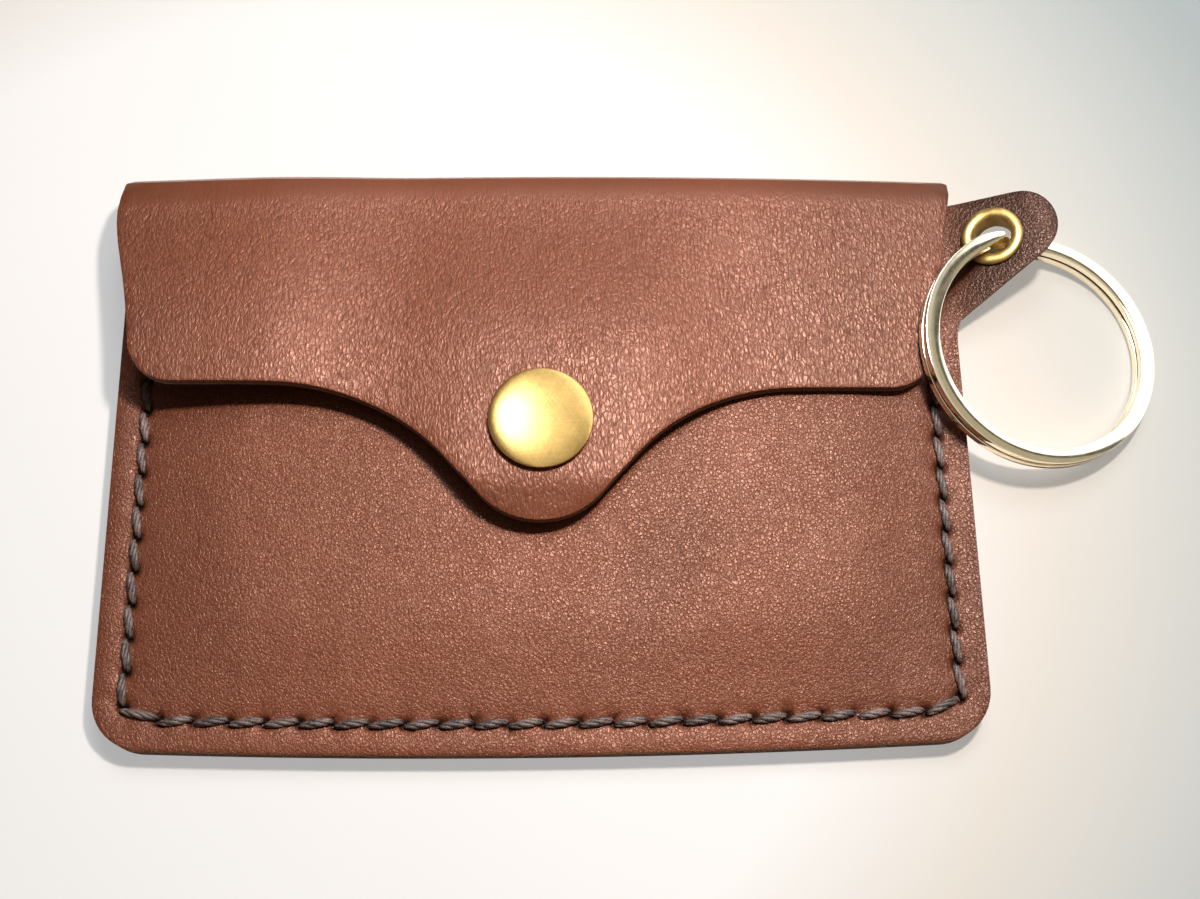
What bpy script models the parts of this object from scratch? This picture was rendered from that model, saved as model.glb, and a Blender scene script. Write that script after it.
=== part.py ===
"""A leather card wallet with a snap flap and a key ring on a drawn-out tab.

Metres, +Z up. The wallet lies on its back panel: X runs along the fold, Y from the
bottom seam to the fold, and the origin is the middle of the back panel's outer face.
"""

from math import atan, cos, pi, radians, sin, sqrt, tan

import bmesh
import bpy
from mathutils import Matrix, Vector

MM = 0.001

# Leather body
leather = 1.5 * MM
body_width = 103.3 * MM
body_height = 73.5 * MM
corner_radius = 6.0 * MM
bottom_sag = 1.2 * MM
panel_gap = 0.3 * MM
grid_step = 7.0 * MM

# Fold and flap
fold_radius = 2.9 * MM
fold_bow = 1.08 * MM
fold_steps = 8
fold_stations = 8
fold_gap = 0.3 * MM
hinge_set_out = 2.5 * MM
flap_drop = 46.85 * MM
flap_side_drop = 30.05 * MM
flap_left_inset = 2.3 * MM
flap_right_inset = 3.6 * MM
flap_corner_radius = 5.5 * MM
tongue_x = -0.3 * MM
tongue_radius = 10.0 * MM
shoulder_radius = 26.0 * MM
scallop_angle = radians(48)
flap_lift_left = 1.6 * MM
flap_lift_right = -0.35 * MM
flap_lift_snap = 2.45 * MM
flap_rise_length = 24.0 * MM
flap_flat_half = 8.0 * MM
flap_blend_length = 18.0 * MM
flap_curl = 2.3 * MM
flap_curl_start = 14.0 * MM
flap_curl_length = 22.0 * MM
flap_curl_rise = 14.0 * MM
tip_droop = 1.1 * MM
tip_droop_length = 5.0 * MM

# Pocket front and its drawn-out tab, which reaches out from the side
mouth_drop = 4.55 * MM
pocket_slack = 0.8 * MM
pocket_mouth_slack = 0.6 * MM
slack_run = 13.0 * MM
tab_root_drop = 23.15 * MM
tab_root_fillet = 3.0 * MM
tab_tip_reach = 7.95 * MM
tab_tip_drop = 9.05 * MM
tab_tip_radius = 4.7 * MM
tab_slope = radians(24.75)
tab_bend_inset = 2.05 * MM
tab_bend_length = 3.0 * MM
tab_level_reach = 8.75 * MM
tab_level_length = 4.0 * MM
tab_grid_step = 3.0 * MM

# Saddle-stitched seam
stitch_pitch = 4.0 * MM
seam_inset = 3.5 * MM
row_end_share = 0.75
column_rise = 1.4 * MM
column_margin = 2.5 * MM
thread_radius = 0.42 * MM
thread_sides = 5
thread_side_step = 0.55 * MM
thread_gap = 0.1 * MM
thread_crown = 0.1 * MM
slot_gap = 0.3 * MM
back_groove = 1.0 * MM
front_groove = 0.6 * MM
groove_margin = 0.25 * MM
groove_end_run = 1.0 * MM

# Snap fastener
snap_x = -0.2 * MM
snap_drop = 34.85 * MM
snap_gap = 0.3 * MM
cap_radius = 6.25 * MM
cap_rim_height = 0.5 * MM
cap_dome_height = 1.1 * MM
cap_post_radius = 1.0 * MM
cap_post_reach = 0.35 * MM
socket_radius = 4.9 * MM
socket_height = 1.55 * MM
socket_plate = 0.45 * MM
socket_lip = 0.3 * MM
socket_groove_radius = 3.35 * MM
stud_flange_radius = 4.3 * MM
stud_flange = 0.35 * MM
stud_neck_radius = 1.75 * MM
stud_bulb_radius = 2.1 * MM
stud_height = 1.45 * MM
stud_bore_depth = 1.05 * MM
post_radius = 0.85 * MM
post_flange = 0.4 * MM
spring_wire_radius = 0.25 * MM
spring_radius = 2.78 * MM
spring_open_angle = radians(50)
spring_stations = 24
turned_segments = 28

# Eyelet in the tab
eyelet_reach = 5.25 * MM
eyelet_drop = 10.0 * MM
eyelet_bore_radius = 2.4 * MM
eyelet_wall = 0.3 * MM
eyelet_flange_radius = 4.0 * MM
eyelet_flange_height = 0.5 * MM
eyelet_roll_radius = 3.4 * MM
eyelet_gap = 0.2 * MM
washer = 0.3 * MM

# Split key ring
ring_radius = 15.35 * MM
wire_width = 1.8 * MM
wire_thickness = 1.0 * MM
wire_bevel = 0.28 * MM
turn_gap = 0.43 * MM
ring_turns = 2
ring_steps = 40
ring_yaw = radians(16.7)
ring_slope_x = -0.15
ring_slope_y = 0.017
ring_slip = 0.7 * MM
ring_climb = 2.5 * MM
climb_run = 7.4 * MM
tip_length = 3.6 * MM
tip_width = 0.5 * MM
way_step = 0.1 * MM
gap_samples = 720

# One overrun serves every cut
overrun = 1.0 * MM

half_width = body_width / 2
top_y = body_height / 2
fold_centre_z = fold_radius
fold_inner = fold_radius - leather
front_z = leather + panel_gap
flap_z = fold_centre_z + fold_inner
seam_x = half_width - seam_inset
ring_mid_radius = ring_radius - wire_width / 2
turn_step = wire_thickness + turn_gap

# Places measured from the fold's top line and from the right side
flap_tip_y = top_y - flap_drop
flap_side_y = top_y - flap_side_drop
snap_y = top_y - snap_drop
mouth_y = top_y - mouth_drop
tab_root_y = top_y - tab_root_drop
tab_tip_x = half_width + tab_tip_reach
tab_tip_y = top_y - tab_tip_drop
tab_bend_start = half_width - tab_bend_inset
tab_level_start = half_width + tab_level_reach
eyelet_x = half_width + eyelet_reach
eyelet_y = top_y - eyelet_drop


def smoothstep(value):
    value = min(max(value, 0.0), 1.0)
    return value * value * (3 - 2 * value)


def fold_y(x):
    """The outermost line of the fold, which bows out a little in the middle."""
    return top_y - fold_bow * (x / half_width) ** 2


def fold_start_y(x):
    """Where the flat leather ends and the fold begins."""
    return fold_y(x) - fold_radius


def bottom_y(x):
    return -top_y + bottom_sag * (x / half_width) ** 2


def arc(centre_x, centre_y, radius, start, end, steps):
    """Points on an arc, both ends included."""
    turns = [start + (end - start) * i / steps for i in range(steps + 1)]
    return [(centre_x + radius * cos(a), centre_y + radius * sin(a)) for a in turns]


def front_lift(x, y):
    """How far the pocket front stands off its sewn edge, slack side and tab together."""
    inward_x = smoothstep((seam_x - abs(x)) / slack_run)
    inward_y = smoothstep((y - bottom_y(x) - seam_inset) / slack_run)
    mouth = smoothstep((mouth_y - y) / slack_run)
    slack = pocket_mouth_slack + (pocket_slack - pocket_mouth_slack) * mouth
    return slack * inward_x * inward_y + tab_lift(x)


def tab_lift(x):
    return bend(x - tab_bend_start, tab_bend_length) - bend(x - tab_level_start, tab_level_length)


def bend(run, length):
    """The height gained by turning up to the tab's slope over a length."""
    if run <= 0:
        return 0.0
    if run < length:
        return tan(tab_slope) * run * run / (2 * length)
    return tan(tab_slope) * (run - length / 2)


def flap_lift(x, y):
    """How far the flap's underside stands above the height at which it leaves the fold."""
    middle = 1 - smoothstep((abs(x - snap_x) - flap_flat_half) / flap_blend_length)
    leftness = (1 - x / half_width) / 2
    side = flap_lift_right + (flap_lift_left - flap_lift_right) * leftness
    lift = side + (flap_lift_snap - side) * middle
    droop_start = flap_tip_y + tip_droop_length
    droop = tip_droop * smoothstep((droop_start - y) / tip_droop_length)
    run = fold_start_y(x) - y
    curl = flap_curl * smoothstep((-x - flap_curl_start) / flap_curl_length)
    rise = lift * smoothstep(run / flap_rise_length) + curl * smoothstep(run / flap_curl_rise)
    return rise - droop


# Heights at the snap, from the table up
front_top_at_snap = front_z + leather + front_lift(snap_x, snap_y)
flap_under_at_snap = flap_z + flap_lift(snap_x, snap_y)

# The eyelet's centre is on the middle of the tab's leather
eyelet_z = front_z + leather / 2 + tab_lift(eyelet_x)
eyelet_centre = Vector((eyelet_x, eyelet_y, eyelet_z))
tab_normal = Vector((-sin(tab_slope), 0, cos(tab_slope)))


# As many holes as fit the bottom row and both columns, and the first of each
holes_each_side = int(seam_x / stitch_pitch - row_end_share)
row_holes = 2 * holes_each_side + 1
first_x = -holes_each_side * stitch_pitch
column_start = bottom_y(seam_x) + seam_inset + column_rise
column_holes = int((mouth_y - column_margin - column_start) / stitch_pitch) + 1


def between_holes(first, low, high):
    """Lines midway between every second pair of stitch holes."""
    step = 2 * stitch_pitch
    start = first - stitch_pitch / 2 - step
    lines = [start + i * step for i in range(int((high - start) / step) + 1)]
    return [line for line in lines if line > low]


def seam_places():
    """The stitch holes in sewing order, each with the seam's direction there."""
    places = []
    for i in reversed(range(column_holes)):
        places.append(Vector((-seam_x, column_start + i * stitch_pitch, 0)))
    for i in range(row_holes):
        x = first_x + i * stitch_pitch
        places.append(Vector((x, bottom_y(x) + seam_inset, 0)))
    for i in range(column_holes):
        places.append(Vector((seam_x, column_start + i * stitch_pitch, 0)))
    last = len(places) - 1
    ways = [
        (places[min(i + 1, last)] - places[max(i - 1, 0)]).normalized()
        for i in range(len(places))
    ]
    return list(zip(places, ways))


def bare_material(name, colour, roughness, metallic):
    material = bpy.data.materials.new(name)
    material.use_nodes = True
    shader = material.node_tree.nodes["Principled BSDF"]
    shader.inputs["Base Color"].default_value = (*colour, 1)
    shader.inputs["Roughness"].default_value = roughness
    shader.inputs["Metallic"].default_value = metallic
    material.diffuse_color = (*colour, 1)
    return material


def add_object(name, bm, material=None, smooth=False):
    bmesh.ops.recalc_face_normals(bm, faces=bm.faces)
    mesh = bpy.data.meshes.new(name)
    bm.to_mesh(mesh)
    bm.free()
    if smooth:
        mesh.shade_smooth()
        mesh.set_sharp_from_angle(angle=radians(35))
    piece = bpy.data.objects.new(name, mesh)
    bpy.context.scene.collection.objects.link(piece)
    if material:
        mesh.materials.append(material)
    return piece


def add_cutter(name, bm):
    cutter = add_object(name, bm)
    cutter.hide_render = True
    cutter.display_type = "WIRE"
    return cutter


def cut(piece, cutter):
    modifier = piece.modifiers.new(cutter.name, "BOOLEAN")
    modifier.operation = "DIFFERENCE"
    modifier.solver = "EXACT"
    modifier.object = cutter


def grid_lines(low, high, step):
    count = max(2, round((high - low) / step))
    return [low + (high - low) * i / count for i in range(1, count)]


def sheet(outline, bottom, lift, lines_x, lines_y):
    """A sheet of leather cut to an outline, then bent up by lift(x, y)."""
    bm = bmesh.new()
    bm.faces.new([bm.verts.new((x, y, bottom)) for x, y in outline])
    cuts = [(Vector((x, 0, 0)), Vector((1, 0, 0))) for x in lines_x]
    cuts += [(Vector((0, y, 0)), Vector((0, 1, 0))) for y in lines_y]
    for place, normal in cuts:
        geometry = bm.verts[:] + bm.edges[:] + bm.faces[:]
        bmesh.ops.bisect_plane(bm, geom=geometry, plane_co=place, plane_no=normal)
    bmesh.ops.triangulate(bm, faces=bm.faces)
    raised = bmesh.ops.extrude_face_region(bm, geom=bm.faces[:])
    upper = [v for v in raised["geom"] if isinstance(v, bmesh.types.BMVert)]
    bmesh.ops.translate(bm, verts=upper, vec=(0, 0, leather))
    for vert in bm.verts:
        vert.co.z += lift(vert.co.x, vert.co.y)
    return bm


def turned(profile, place, axis=Vector((0, 0, 1))):
    """A profile of (radius, height) points turned about an axis through place."""
    bm = bmesh.new()
    verts = [bm.verts.new((r, 0, z)) for r, z in profile]
    pairs = list(zip(verts, verts[1:]))
    if profile[0][0] > 0:
        pairs.append((verts[-1], verts[0]))
    edges = [bm.edges.new(pair) for pair in pairs]
    bmesh.ops.spin(
        bm,
        geom=verts + edges,
        cent=(0, 0, 0),
        axis=(0, 0, 1),
        angle=2 * pi,
        steps=turned_segments,
        use_merge=True,
    )
    bmesh.ops.remove_doubles(bm, verts=bm.verts, dist=0.01 * MM)
    turn = Vector((0, 0, 1)).rotation_difference(axis).to_matrix().to_4x4()
    bmesh.ops.transform(bm, matrix=Matrix.Translation(place) @ turn, verts=bm.verts)
    return bm


def swept(sections):
    """A closed body through equal rings of points, with a flat face at each end."""
    bm = bmesh.new()
    rings = [[bm.verts.new(point) for point in section] for section in sections]
    sides = len(rings[0])
    for ring, following in zip(rings, rings[1:]):
        for i in range(sides):
            j = (i + 1) % sides
            bm.faces.new((ring[i], ring[j], following[j], following[i]))
    bm.faces.new(rings[0])
    bm.faces.new(rings[-1])
    return bm


def body_sides(top_y):
    """The outline that both panels share: bottom right to bottom left, open at top_y."""
    inner_x = half_width - corner_radius
    centre_y = bottom_y(inner_x) + corner_radius
    stations = [inner_x * (1 - 2 * i / 10) for i in range(1, 10)]
    points = arc(inner_x, centre_y, corner_radius, 0, -pi / 2, 6)
    points += [(x, bottom_y(x)) for x in stations]
    points += arc(-inner_x, centre_y, corner_radius, -pi / 2, -pi, 6)
    return [(half_width, top_y)] + points + [(-half_width, top_y)]


def back_outline():
    top_y = fold_start_y(half_width) - fold_gap / 2
    stations = [half_width * (2 * i / 8 - 1) for i in range(1, 8)]
    top = [(x, fold_start_y(x) - fold_gap / 2) for x in stations]
    return body_sides(top_y) + top


def tangent_point(outside, upper):
    """Where a line from a point outside touches the tab's round tip."""
    way = Vector(outside) - Vector((tab_tip_x, tab_tip_y))
    swing = sqrt(way.length_squared - tab_tip_radius**2)
    turn = atan(swing / tab_tip_radius) * (-1 if upper else 1)
    touch = Matrix.Rotation(turn, 2) @ way.normalized() * tab_tip_radius
    return Vector((tab_tip_x, tab_tip_y)) + touch


def tab_outline():
    """Up the right side from the tab's lower root, round its tip, to the mouth."""
    root_top = (half_width, mouth_y)
    root_low = (half_width + tab_root_fillet / 4, tab_root_y + tab_root_fillet)
    low = tangent_point(root_low, False)
    high = tangent_point(root_top, True)
    centre = Vector((tab_tip_x, tab_tip_y))
    start = Vector((1, 0)).angle_signed(low - centre)
    end = Vector((1, 0)).angle_signed(high - centre)
    tip = arc(tab_tip_x, tab_tip_y, tab_tip_radius, -start, -end, 10)
    return [(half_width, tab_root_y), root_low] + tip + [root_top]


def front_outline():
    sides = body_sides(mouth_y)[1:]
    return sides + list(reversed(tab_outline()))


def flap_outline():
    """Fold edge, tapering sides, round corners and the scalloped lower edge."""
    drop = flap_side_y - flap_tip_y
    rounded = (tongue_radius + shoulder_radius) * (1 - cos(scallop_angle))
    straight = (drop - rounded) / sin(scallop_angle)
    across = (tongue_radius + shoulder_radius) * sin(scallop_angle)
    shoulder_x = across + straight * cos(scallop_angle)
    tongue = arc(0, flap_tip_y + tongue_radius, tongue_radius, -pi / 2,
                 -pi / 2 + scallop_angle, 5)
    shoulder = arc(shoulder_x, flap_side_y - shoulder_radius, shoulder_radius,
                   pi / 2 + scallop_angle, pi / 2, 6)
    scallop = tongue + shoulder
    right = side_outline(half_width - flap_right_inset)
    left = side_outline(half_width - flap_left_inset)
    lower = [(tongue_x + x, y) for x, y in scallop] + right
    mirrored = [(tongue_x - x, y) for x, y in scallop[1:]] + [(-x, y) for x, y in left]
    stations = [half_width * (1 - 2 * i / 8) for i in range(9)]
    top = [(x, fold_start_y(x) - fold_gap / 2) for x in stations]
    return lower + top + list(reversed(mirrored))


def side_outline(corner_x):
    """One side of the flap from its lower corner up, as if on the right."""
    centre_y = flap_side_y + flap_corner_radius
    centre_x = corner_x - flap_corner_radius
    return arc(centre_x, centre_y, flap_corner_radius, -pi / 2, 0, 6)


def slot_cutters(name, low, high):
    """A slot through both panels at each stitch hole, for two threads side by side."""
    across = thread_side_step + thread_radius + slot_gap
    along = thread_radius + slot_gap
    bm = bmesh.new()
    for place, way in seam_places():
        side = Vector((-way.y, way.x, 0))
        corners = [(1, 1), (-1, 1), (-1, -1), (1, -1)]
        flat = [place + way * along * a + side * across * b for a, b in corners]
        rings = [[bm.verts.new((p.x, p.y, z)) for p in flat] for z in (low, high)]
        for i in range(4):
            j = (i + 1) % 4
            bm.faces.new((rings[0][i], rings[0][j], rings[1][j], rings[1][i]))
        bm.faces.new(rings[0])
        bm.faces.new(rings[1])
    return add_cutter(name, bm)


def groove_cutter(name, floor, mouth):
    """A channel along the seam that sinks the stitches into an outer face."""
    across = thread_side_step + thread_radius + slot_gap + groove_margin
    places = seam_places()
    centres = [place for place, way in places]
    ways = [way for place, way in places]
    centres[0] = centres[0] - ways[0] * groove_end_run
    centres[-1] = centres[-1] + ways[-1] * groove_end_run
    sections = []
    for centre, way in zip(centres, ways):
        side = Vector((-way.y, way.x, 0)) * across
        low = Vector((0, 0, floor))
        high = Vector((0, 0, mouth))
        sections.append([centre - side + low, centre + side + low,
                         centre + side + high, centre - side + high])
    return add_cutter(name, swept(sections))


def round_cutter(name, radius, place, reach, axis=Vector((0, 0, 1))):
    profile = [(0, -reach), (radius, -reach), (radius, reach), (0, reach)]
    return add_cutter(name, turned(profile, place, axis))


def make_panels(hide):
    """The back panel and the pocket front, with the slots, groove and holes cut in them."""
    slots = slot_cutters("slot_cutter", -overrun, front_z + leather + overrun)
    back = add_object("back_panel", sheet(back_outline(), 0, no_lift, [], []), hide)
    cut(back, groove_cutter("back_groove_cutter", back_groove, -overrun))
    cut(back, slots)
    lines_x = between_holes(first_x, -half_width, seam_x)
    lines_x += grid_lines(tab_bend_start, tab_tip_x + tab_tip_radius, tab_grid_step)
    lines_x += [tab_bend_start + tab_bend_length * share for share in (0, 0.5, 1)]
    lines_y = between_holes(column_start, -body_height / 2, mouth_y)
    bm = sheet(front_outline(), front_z, front_lift, sorted(lines_x), lines_y)
    front = add_object("front_panel", bm, hide, smooth=True)
    front_floor = front_z + leather - front_groove
    cut(front, groove_cutter("front_groove_cutter", front_floor, front_floor + overrun))
    cut(front, slots)
    hole = Vector((snap_x, snap_y, front_top_at_snap))
    cut(front, round_cutter("stud_hole_cutter", post_radius + snap_gap, hole, 2 * leather))
    barrel = eyelet_bore_radius + eyelet_wall + eyelet_gap
    cut(front, round_cutter("eyelet_hole_cutter", barrel, eyelet_centre, 2 * leather,
                            tab_normal))


def no_lift(x, y):
    return 0.0


def make_fold(hide):
    """The half-round of leather between the back panel and the flap."""
    margin = fold_gap / 2 / fold_radius
    angles = [margin + (pi - 2 * margin) * i / fold_steps for i in range(fold_steps + 1)]
    sections = []
    for i in range(fold_stations + 1):
        x = half_width * (2 * i / fold_stations - 1)
        y = fold_start_y(x)
        outer = [(x, y + fold_radius * sin(a), fold_centre_z - fold_radius * cos(a))
                 for a in angles]
        inner = [(x, y + fold_inner * sin(a), fold_centre_z - fold_inner * cos(a))
                 for a in reversed(angles)]
        sections.append(outer + inner)
    add_object("fold_strip", swept(sections), hide, smooth=True)


def make_flap(hide, hinge):
    lines_x = grid_lines(-half_width, half_width, grid_step)
    lines_x += [snap_x - flap_flat_half, snap_x + flap_flat_half]
    droop_start = flap_tip_y + tip_droop_length
    lines_y = [droop_start] + grid_lines(droop_start, fold_start_y(0), grid_step)
    bm = sheet(flap_outline(), flap_z, flap_lift, lines_x, lines_y)
    flap = add_object("flap", bm, hide, smooth=True)
    hole = Vector((snap_x, snap_y, flap_under_at_snap))
    cut(flap, round_cutter("cap_hole_cutter", cap_post_radius + snap_gap, hole, 2 * leather))
    hang(flap, hinge)


def hang(piece, hinge):
    """Parent a finished piece to the empty on its joint's axis."""
    piece.parent = hinge
    piece.matrix_parent_inverse = hinge.matrix_world.inverted()


def make_threads(thread_material):
    """Two threads that swap sides at every hole, as one length with two needles does."""
    front = front_z + leather - front_groove + thread_gap + thread_radius
    back = back_groove - thread_gap - thread_radius
    middle = (front + back) / 2
    places = seam_places()
    for name, parity in (("seam_thread_a", 0), ("seam_thread_b", 1)):
        path = []
        for i, (place, way) in enumerate(places):
            side = Vector((-way.y, way.x, 0)) * thread_side_step
            goes_up = (i + parity) % 2 == 0
            spot = place + (-side if goes_up else side)
            low, high = (back, front) if goes_up else (front, back)
            if i == 0:
                low = middle
            if i == len(places) - 1:
                high = middle
            path.append(spot + Vector((0, 0, low)))
            path.append(spot + Vector((0, 0, high)))
            if i < len(places) - 1:
                after, way_after = places[i + 1]
                side_after = Vector((-way_after.y, way_after.x, 0)) * thread_side_step
                landing = after + (side_after if goes_up else -side_after)
                crown = thread_crown if goes_up else 0
                path.append((spot + landing) / 2 + Vector((0, 0, high + crown)))
        sections = mitred_sections(path, thread_radius, thread_sides)
        add_object(name, swept(sections), thread_material, smooth=True)


def mitred_sections(path, radius, sides):
    """Sections of a tube along a path, each cut on the plane that halves its bend."""
    way = (path[1] - path[0]).normalized()
    side = way.orthogonal().normalized()
    up = way.cross(side)
    turns = [2 * pi * i / sides for i in range(sides)]
    section = [path[0] + (side * cos(a) + up * sin(a)) * radius for a in turns]
    sections = [section]
    for i in range(1, len(path)):
        way = (path[i] - path[i - 1]).normalized()
        onward = (path[i + 1] - path[i]).normalized() if i < len(path) - 1 else way
        normal = (way + onward).normalized()
        reach = way.dot(normal)
        section = [v + way * ((path[i] - v).dot(normal) / reach) for v in section]
        sections.append(section)
    return sections


def make_snap(brass, steel, hinge):
    """Cap and socket clamp the flap; stud and post clamp the pocket front."""
    centre = Vector((snap_x, snap_y, 0))
    flap_top = flap_under_at_snap + leather
    seat = flap_top + snap_gap
    rim = seat + cap_rim_height
    plate_under = flap_under_at_snap - snap_gap - socket_plate
    dome = [(cap_radius * sin(a), rim + cap_dome_height * cos(a))
            for a in [pi / 2 * share for share in (0.97, 0.88, 0.75, 0.6, 0.42, 0.22)]]
    cap_profile = [(0, plate_under + cap_post_reach - snap_gap)]
    cap_profile += [(cap_post_radius, cap_profile[0][1]), (cap_post_radius, seat),
                    (cap_radius * 0.95, seat), (cap_radius, seat + cap_rim_height / 2)]
    cap_profile += dome + [(0, rim + cap_dome_height)]
    cap = add_object("snap_cap", turned(cap_profile, centre), brass, smooth=True)

    socket_top = flap_under_at_snap - snap_gap
    socket_low = socket_top - socket_height
    plate_bore = cap_post_radius + snap_gap
    lip_bore = stud_bulb_radius + snap_gap
    profile = [(plate_bore, socket_top), (socket_radius * 0.94, socket_top),
               (socket_radius, socket_top - socket_plate / 2),
               (socket_radius, socket_low + socket_lip), (socket_radius * 0.92, socket_low),
               (lip_bore, socket_low), (lip_bore, socket_low + socket_lip),
               (socket_groove_radius, socket_low + socket_lip),
               (socket_groove_radius, plate_under), (plate_bore, plate_under)]
    socket = add_object("snap_socket", turned(profile, centre), brass, smooth=True)

    spring_z = (socket_low + socket_lip + plate_under) / 2
    sections = []
    for i in range(spring_stations + 1):
        turn = spring_open_angle / 2 + (2 * pi - spring_open_angle) * i / spring_stations
        out = Vector((cos(turn), sin(turn), 0))
        middle = centre + out * spring_radius + Vector((0, 0, spring_z))
        ring = [2 * pi * k / 6 for k in range(6)]
        sections.append([middle + out * spring_wire_radius * cos(a)
                         + Vector((0, 0, spring_wire_radius * sin(a))) for a in ring])
    spring = add_object("socket_spring", swept(sections), steel, smooth=True)
    for piece in (cap, socket, spring):
        hang(piece, hinge)

    base = front_top_at_snap + snap_gap
    neck = base + stud_flange
    top = base + stud_height
    swell = neck + (top - neck) * 0.62
    bore = post_radius + snap_gap
    stud_profile = [(0, base + stud_bore_depth), (bore, base + stud_bore_depth), (bore, base),
                    (stud_flange_radius, base), (stud_flange_radius, neck),
                    (stud_neck_radius, neck), (stud_neck_radius, neck + stud_flange),
                    (stud_bulb_radius, swell), (stud_bulb_radius * 0.8, (swell + 2 * top) / 3),
                    (stud_neck_radius * 0.6, top), (0, top)]
    add_object("snap_stud", turned(stud_profile, centre), brass, smooth=True)

    under = front_top_at_snap - leather - snap_gap
    post_top = base + stud_bore_depth - snap_gap
    post_profile = [(0, under - post_flange), (stud_flange_radius, under - post_flange),
                    (stud_flange_radius, under), (post_radius, under),
                    (post_radius, post_top), (0, post_top)]
    add_object("stud_post", turned(post_profile, centre), brass, smooth=True)


def make_eyelet(brass):
    """The eyelet that lines the tab's hole, rolled over a washer under the tab."""
    seat = leather / 2 + eyelet_gap
    bore = eyelet_bore_radius
    wall = bore + eyelet_wall
    flange = eyelet_flange_radius
    crest = seat + eyelet_flange_height
    low_seat = -(seat + washer + eyelet_gap)
    roll = eyelet_roll_radius
    low_crest = low_seat - eyelet_wall
    profile = [(bore, -seat), (bore, seat), (bore + eyelet_wall / 2, seat + eyelet_wall),
               (wall + eyelet_wall / 2, crest), (flange - 2 * eyelet_wall, crest),
               (flange - eyelet_wall / 2, seat + eyelet_wall), (flange, seat), (wall, seat),
               (wall, low_seat), (roll, low_seat), (roll - eyelet_wall / 2, low_crest),
               (wall, low_crest)]
    add_object("tab_eyelet", turned(profile, eyelet_centre, tab_normal), brass, smooth=True)
    hole = wall + eyelet_gap
    disc = [(hole, -seat), (flange, -seat), (flange, -seat - washer), (hole, -seat - washer)]
    add_object("eyelet_washer", turned(disc, eyelet_centre, tab_normal), brass, smooth=True)


def ring_frame():
    """The ring's centre, its two in-plane directions and its normal.

    The first direction points from the centre to the eyelet, the second from the
    eyelet to the right, where the ring passes under the tab."""
    inward = Vector((sin(ring_yaw), -cos(ring_yaw), 0))
    inward.z = inward.x * ring_slope_x + inward.y * ring_slope_y
    across = Vector((cos(ring_yaw), sin(ring_yaw), 0))
    across.z = across.x * ring_slope_x + across.y * ring_slope_y
    inward.normalize()
    across = (across - inward * across.dot(inward)).normalized()
    centre = eyelet_centre + inward * (ring_mid_radius + ring_slip)
    return centre, -inward, across, across.cross(-inward).normalized()


def ring_height(turn):
    """The wire's height over the ring's middle plane, turn in whole turns from the tip.

    The upper turn starts at the eyelet, over the tab, and comes back under it; there
    the wire climbs through the hole and becomes the lower turn."""
    spread = ring_climb + turn_step
    upper = turn_step / 2 + spread * (0.5 - turn)
    lower = -turn_step / 2 + spread * (1.5 - turn)
    run = climb_run / (2 * pi * ring_mid_radius)
    share = smoothstep((turn - 1) / run + 0.5)
    return upper + (lower - upper) * share


def ring_point(turn):
    centre, outward, across, normal = ring_frame()
    angle = 2 * pi * turn
    flat = outward * cos(angle) - across * sin(angle)
    return centre + flat * ring_mid_radius + normal * ring_height(turn)


def ring_turn_places():
    """Even steps, with extra ones where the wire climbs and where its ends taper."""
    even = [i / ring_steps for i in range(ring_turns * ring_steps + 1)]
    run = climb_run / (2 * pi * ring_mid_radius)
    climb = [1 + run * (i / 12 - 0.5) for i in range(13)]
    low, high = climb[0] - 0.3 / ring_steps, climb[-1] + 0.3 / ring_steps
    return [t for t in even if t < low] + climb + [t for t in even if t > high]


def make_key_ring(steel, hinge):
    """Two turns of flat wire with tapered ends, as one unbroken length."""
    centre, outward, across, normal = ring_frame()
    length = 2 * pi * ring_mid_radius
    step = way_step / length
    sections = []
    for turn in ring_turn_places():
        middle = ring_point(turn)
        low, high = max(turn - step, 0), min(turn + step, ring_turns)
        way = (ring_point(high) - ring_point(low)).normalized()
        angle = 2 * pi * turn
        out = outward * cos(angle) - across * sin(angle)
        out = (out - way * out.dot(way)).normalized()
        up = out.cross(way)
        if up.dot(normal) < 0:
            up = -up
        from_end = min(turn, ring_turns - turn) * length
        full = min(from_end / tip_length, 1)
        half = (tip_width + (wire_width - tip_width) * sqrt(full)) / 2
        tall = wire_thickness / 2
        bevel = min(wire_bevel, half / 2)
        profile = [(half, tall - bevel), (half - bevel, tall), (bevel - half, tall),
                   (-half, tall - bevel), (-half, bevel - tall), (bevel - half, -tall),
                   (half - bevel, -tall), (half, bevel - tall)]
        sections.append([middle + out * a + up * b for a, b in profile])
    ring = add_object("key_ring", swept(sections), steel, smooth=True)
    hang(ring, hinge)
    print("key ring: least gap between its turns %.2f mm" % (least_turn_gap() / MM))


def least_turn_gap():
    """The least open distance between the upper and the lower turn, on points."""
    gaps = []
    for i in range(1, gap_samples):
        turn = i / gap_samples
        apart = (ring_point(turn) - ring_point(turn + 1)).length
        gaps.append(apart - wire_thickness)
    return min(gaps)


def add_hinge(name, place, axis):
    """An empty on a joint's axis, its own X along the axis."""
    empty = bpy.data.objects.new(name, None)
    empty.location = place
    empty.rotation_mode = "QUATERNION"
    empty.rotation_quaternion = Vector((1, 0, 0)).rotation_difference(axis)
    bpy.context.scene.collection.objects.link(empty)
    return empty


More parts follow.
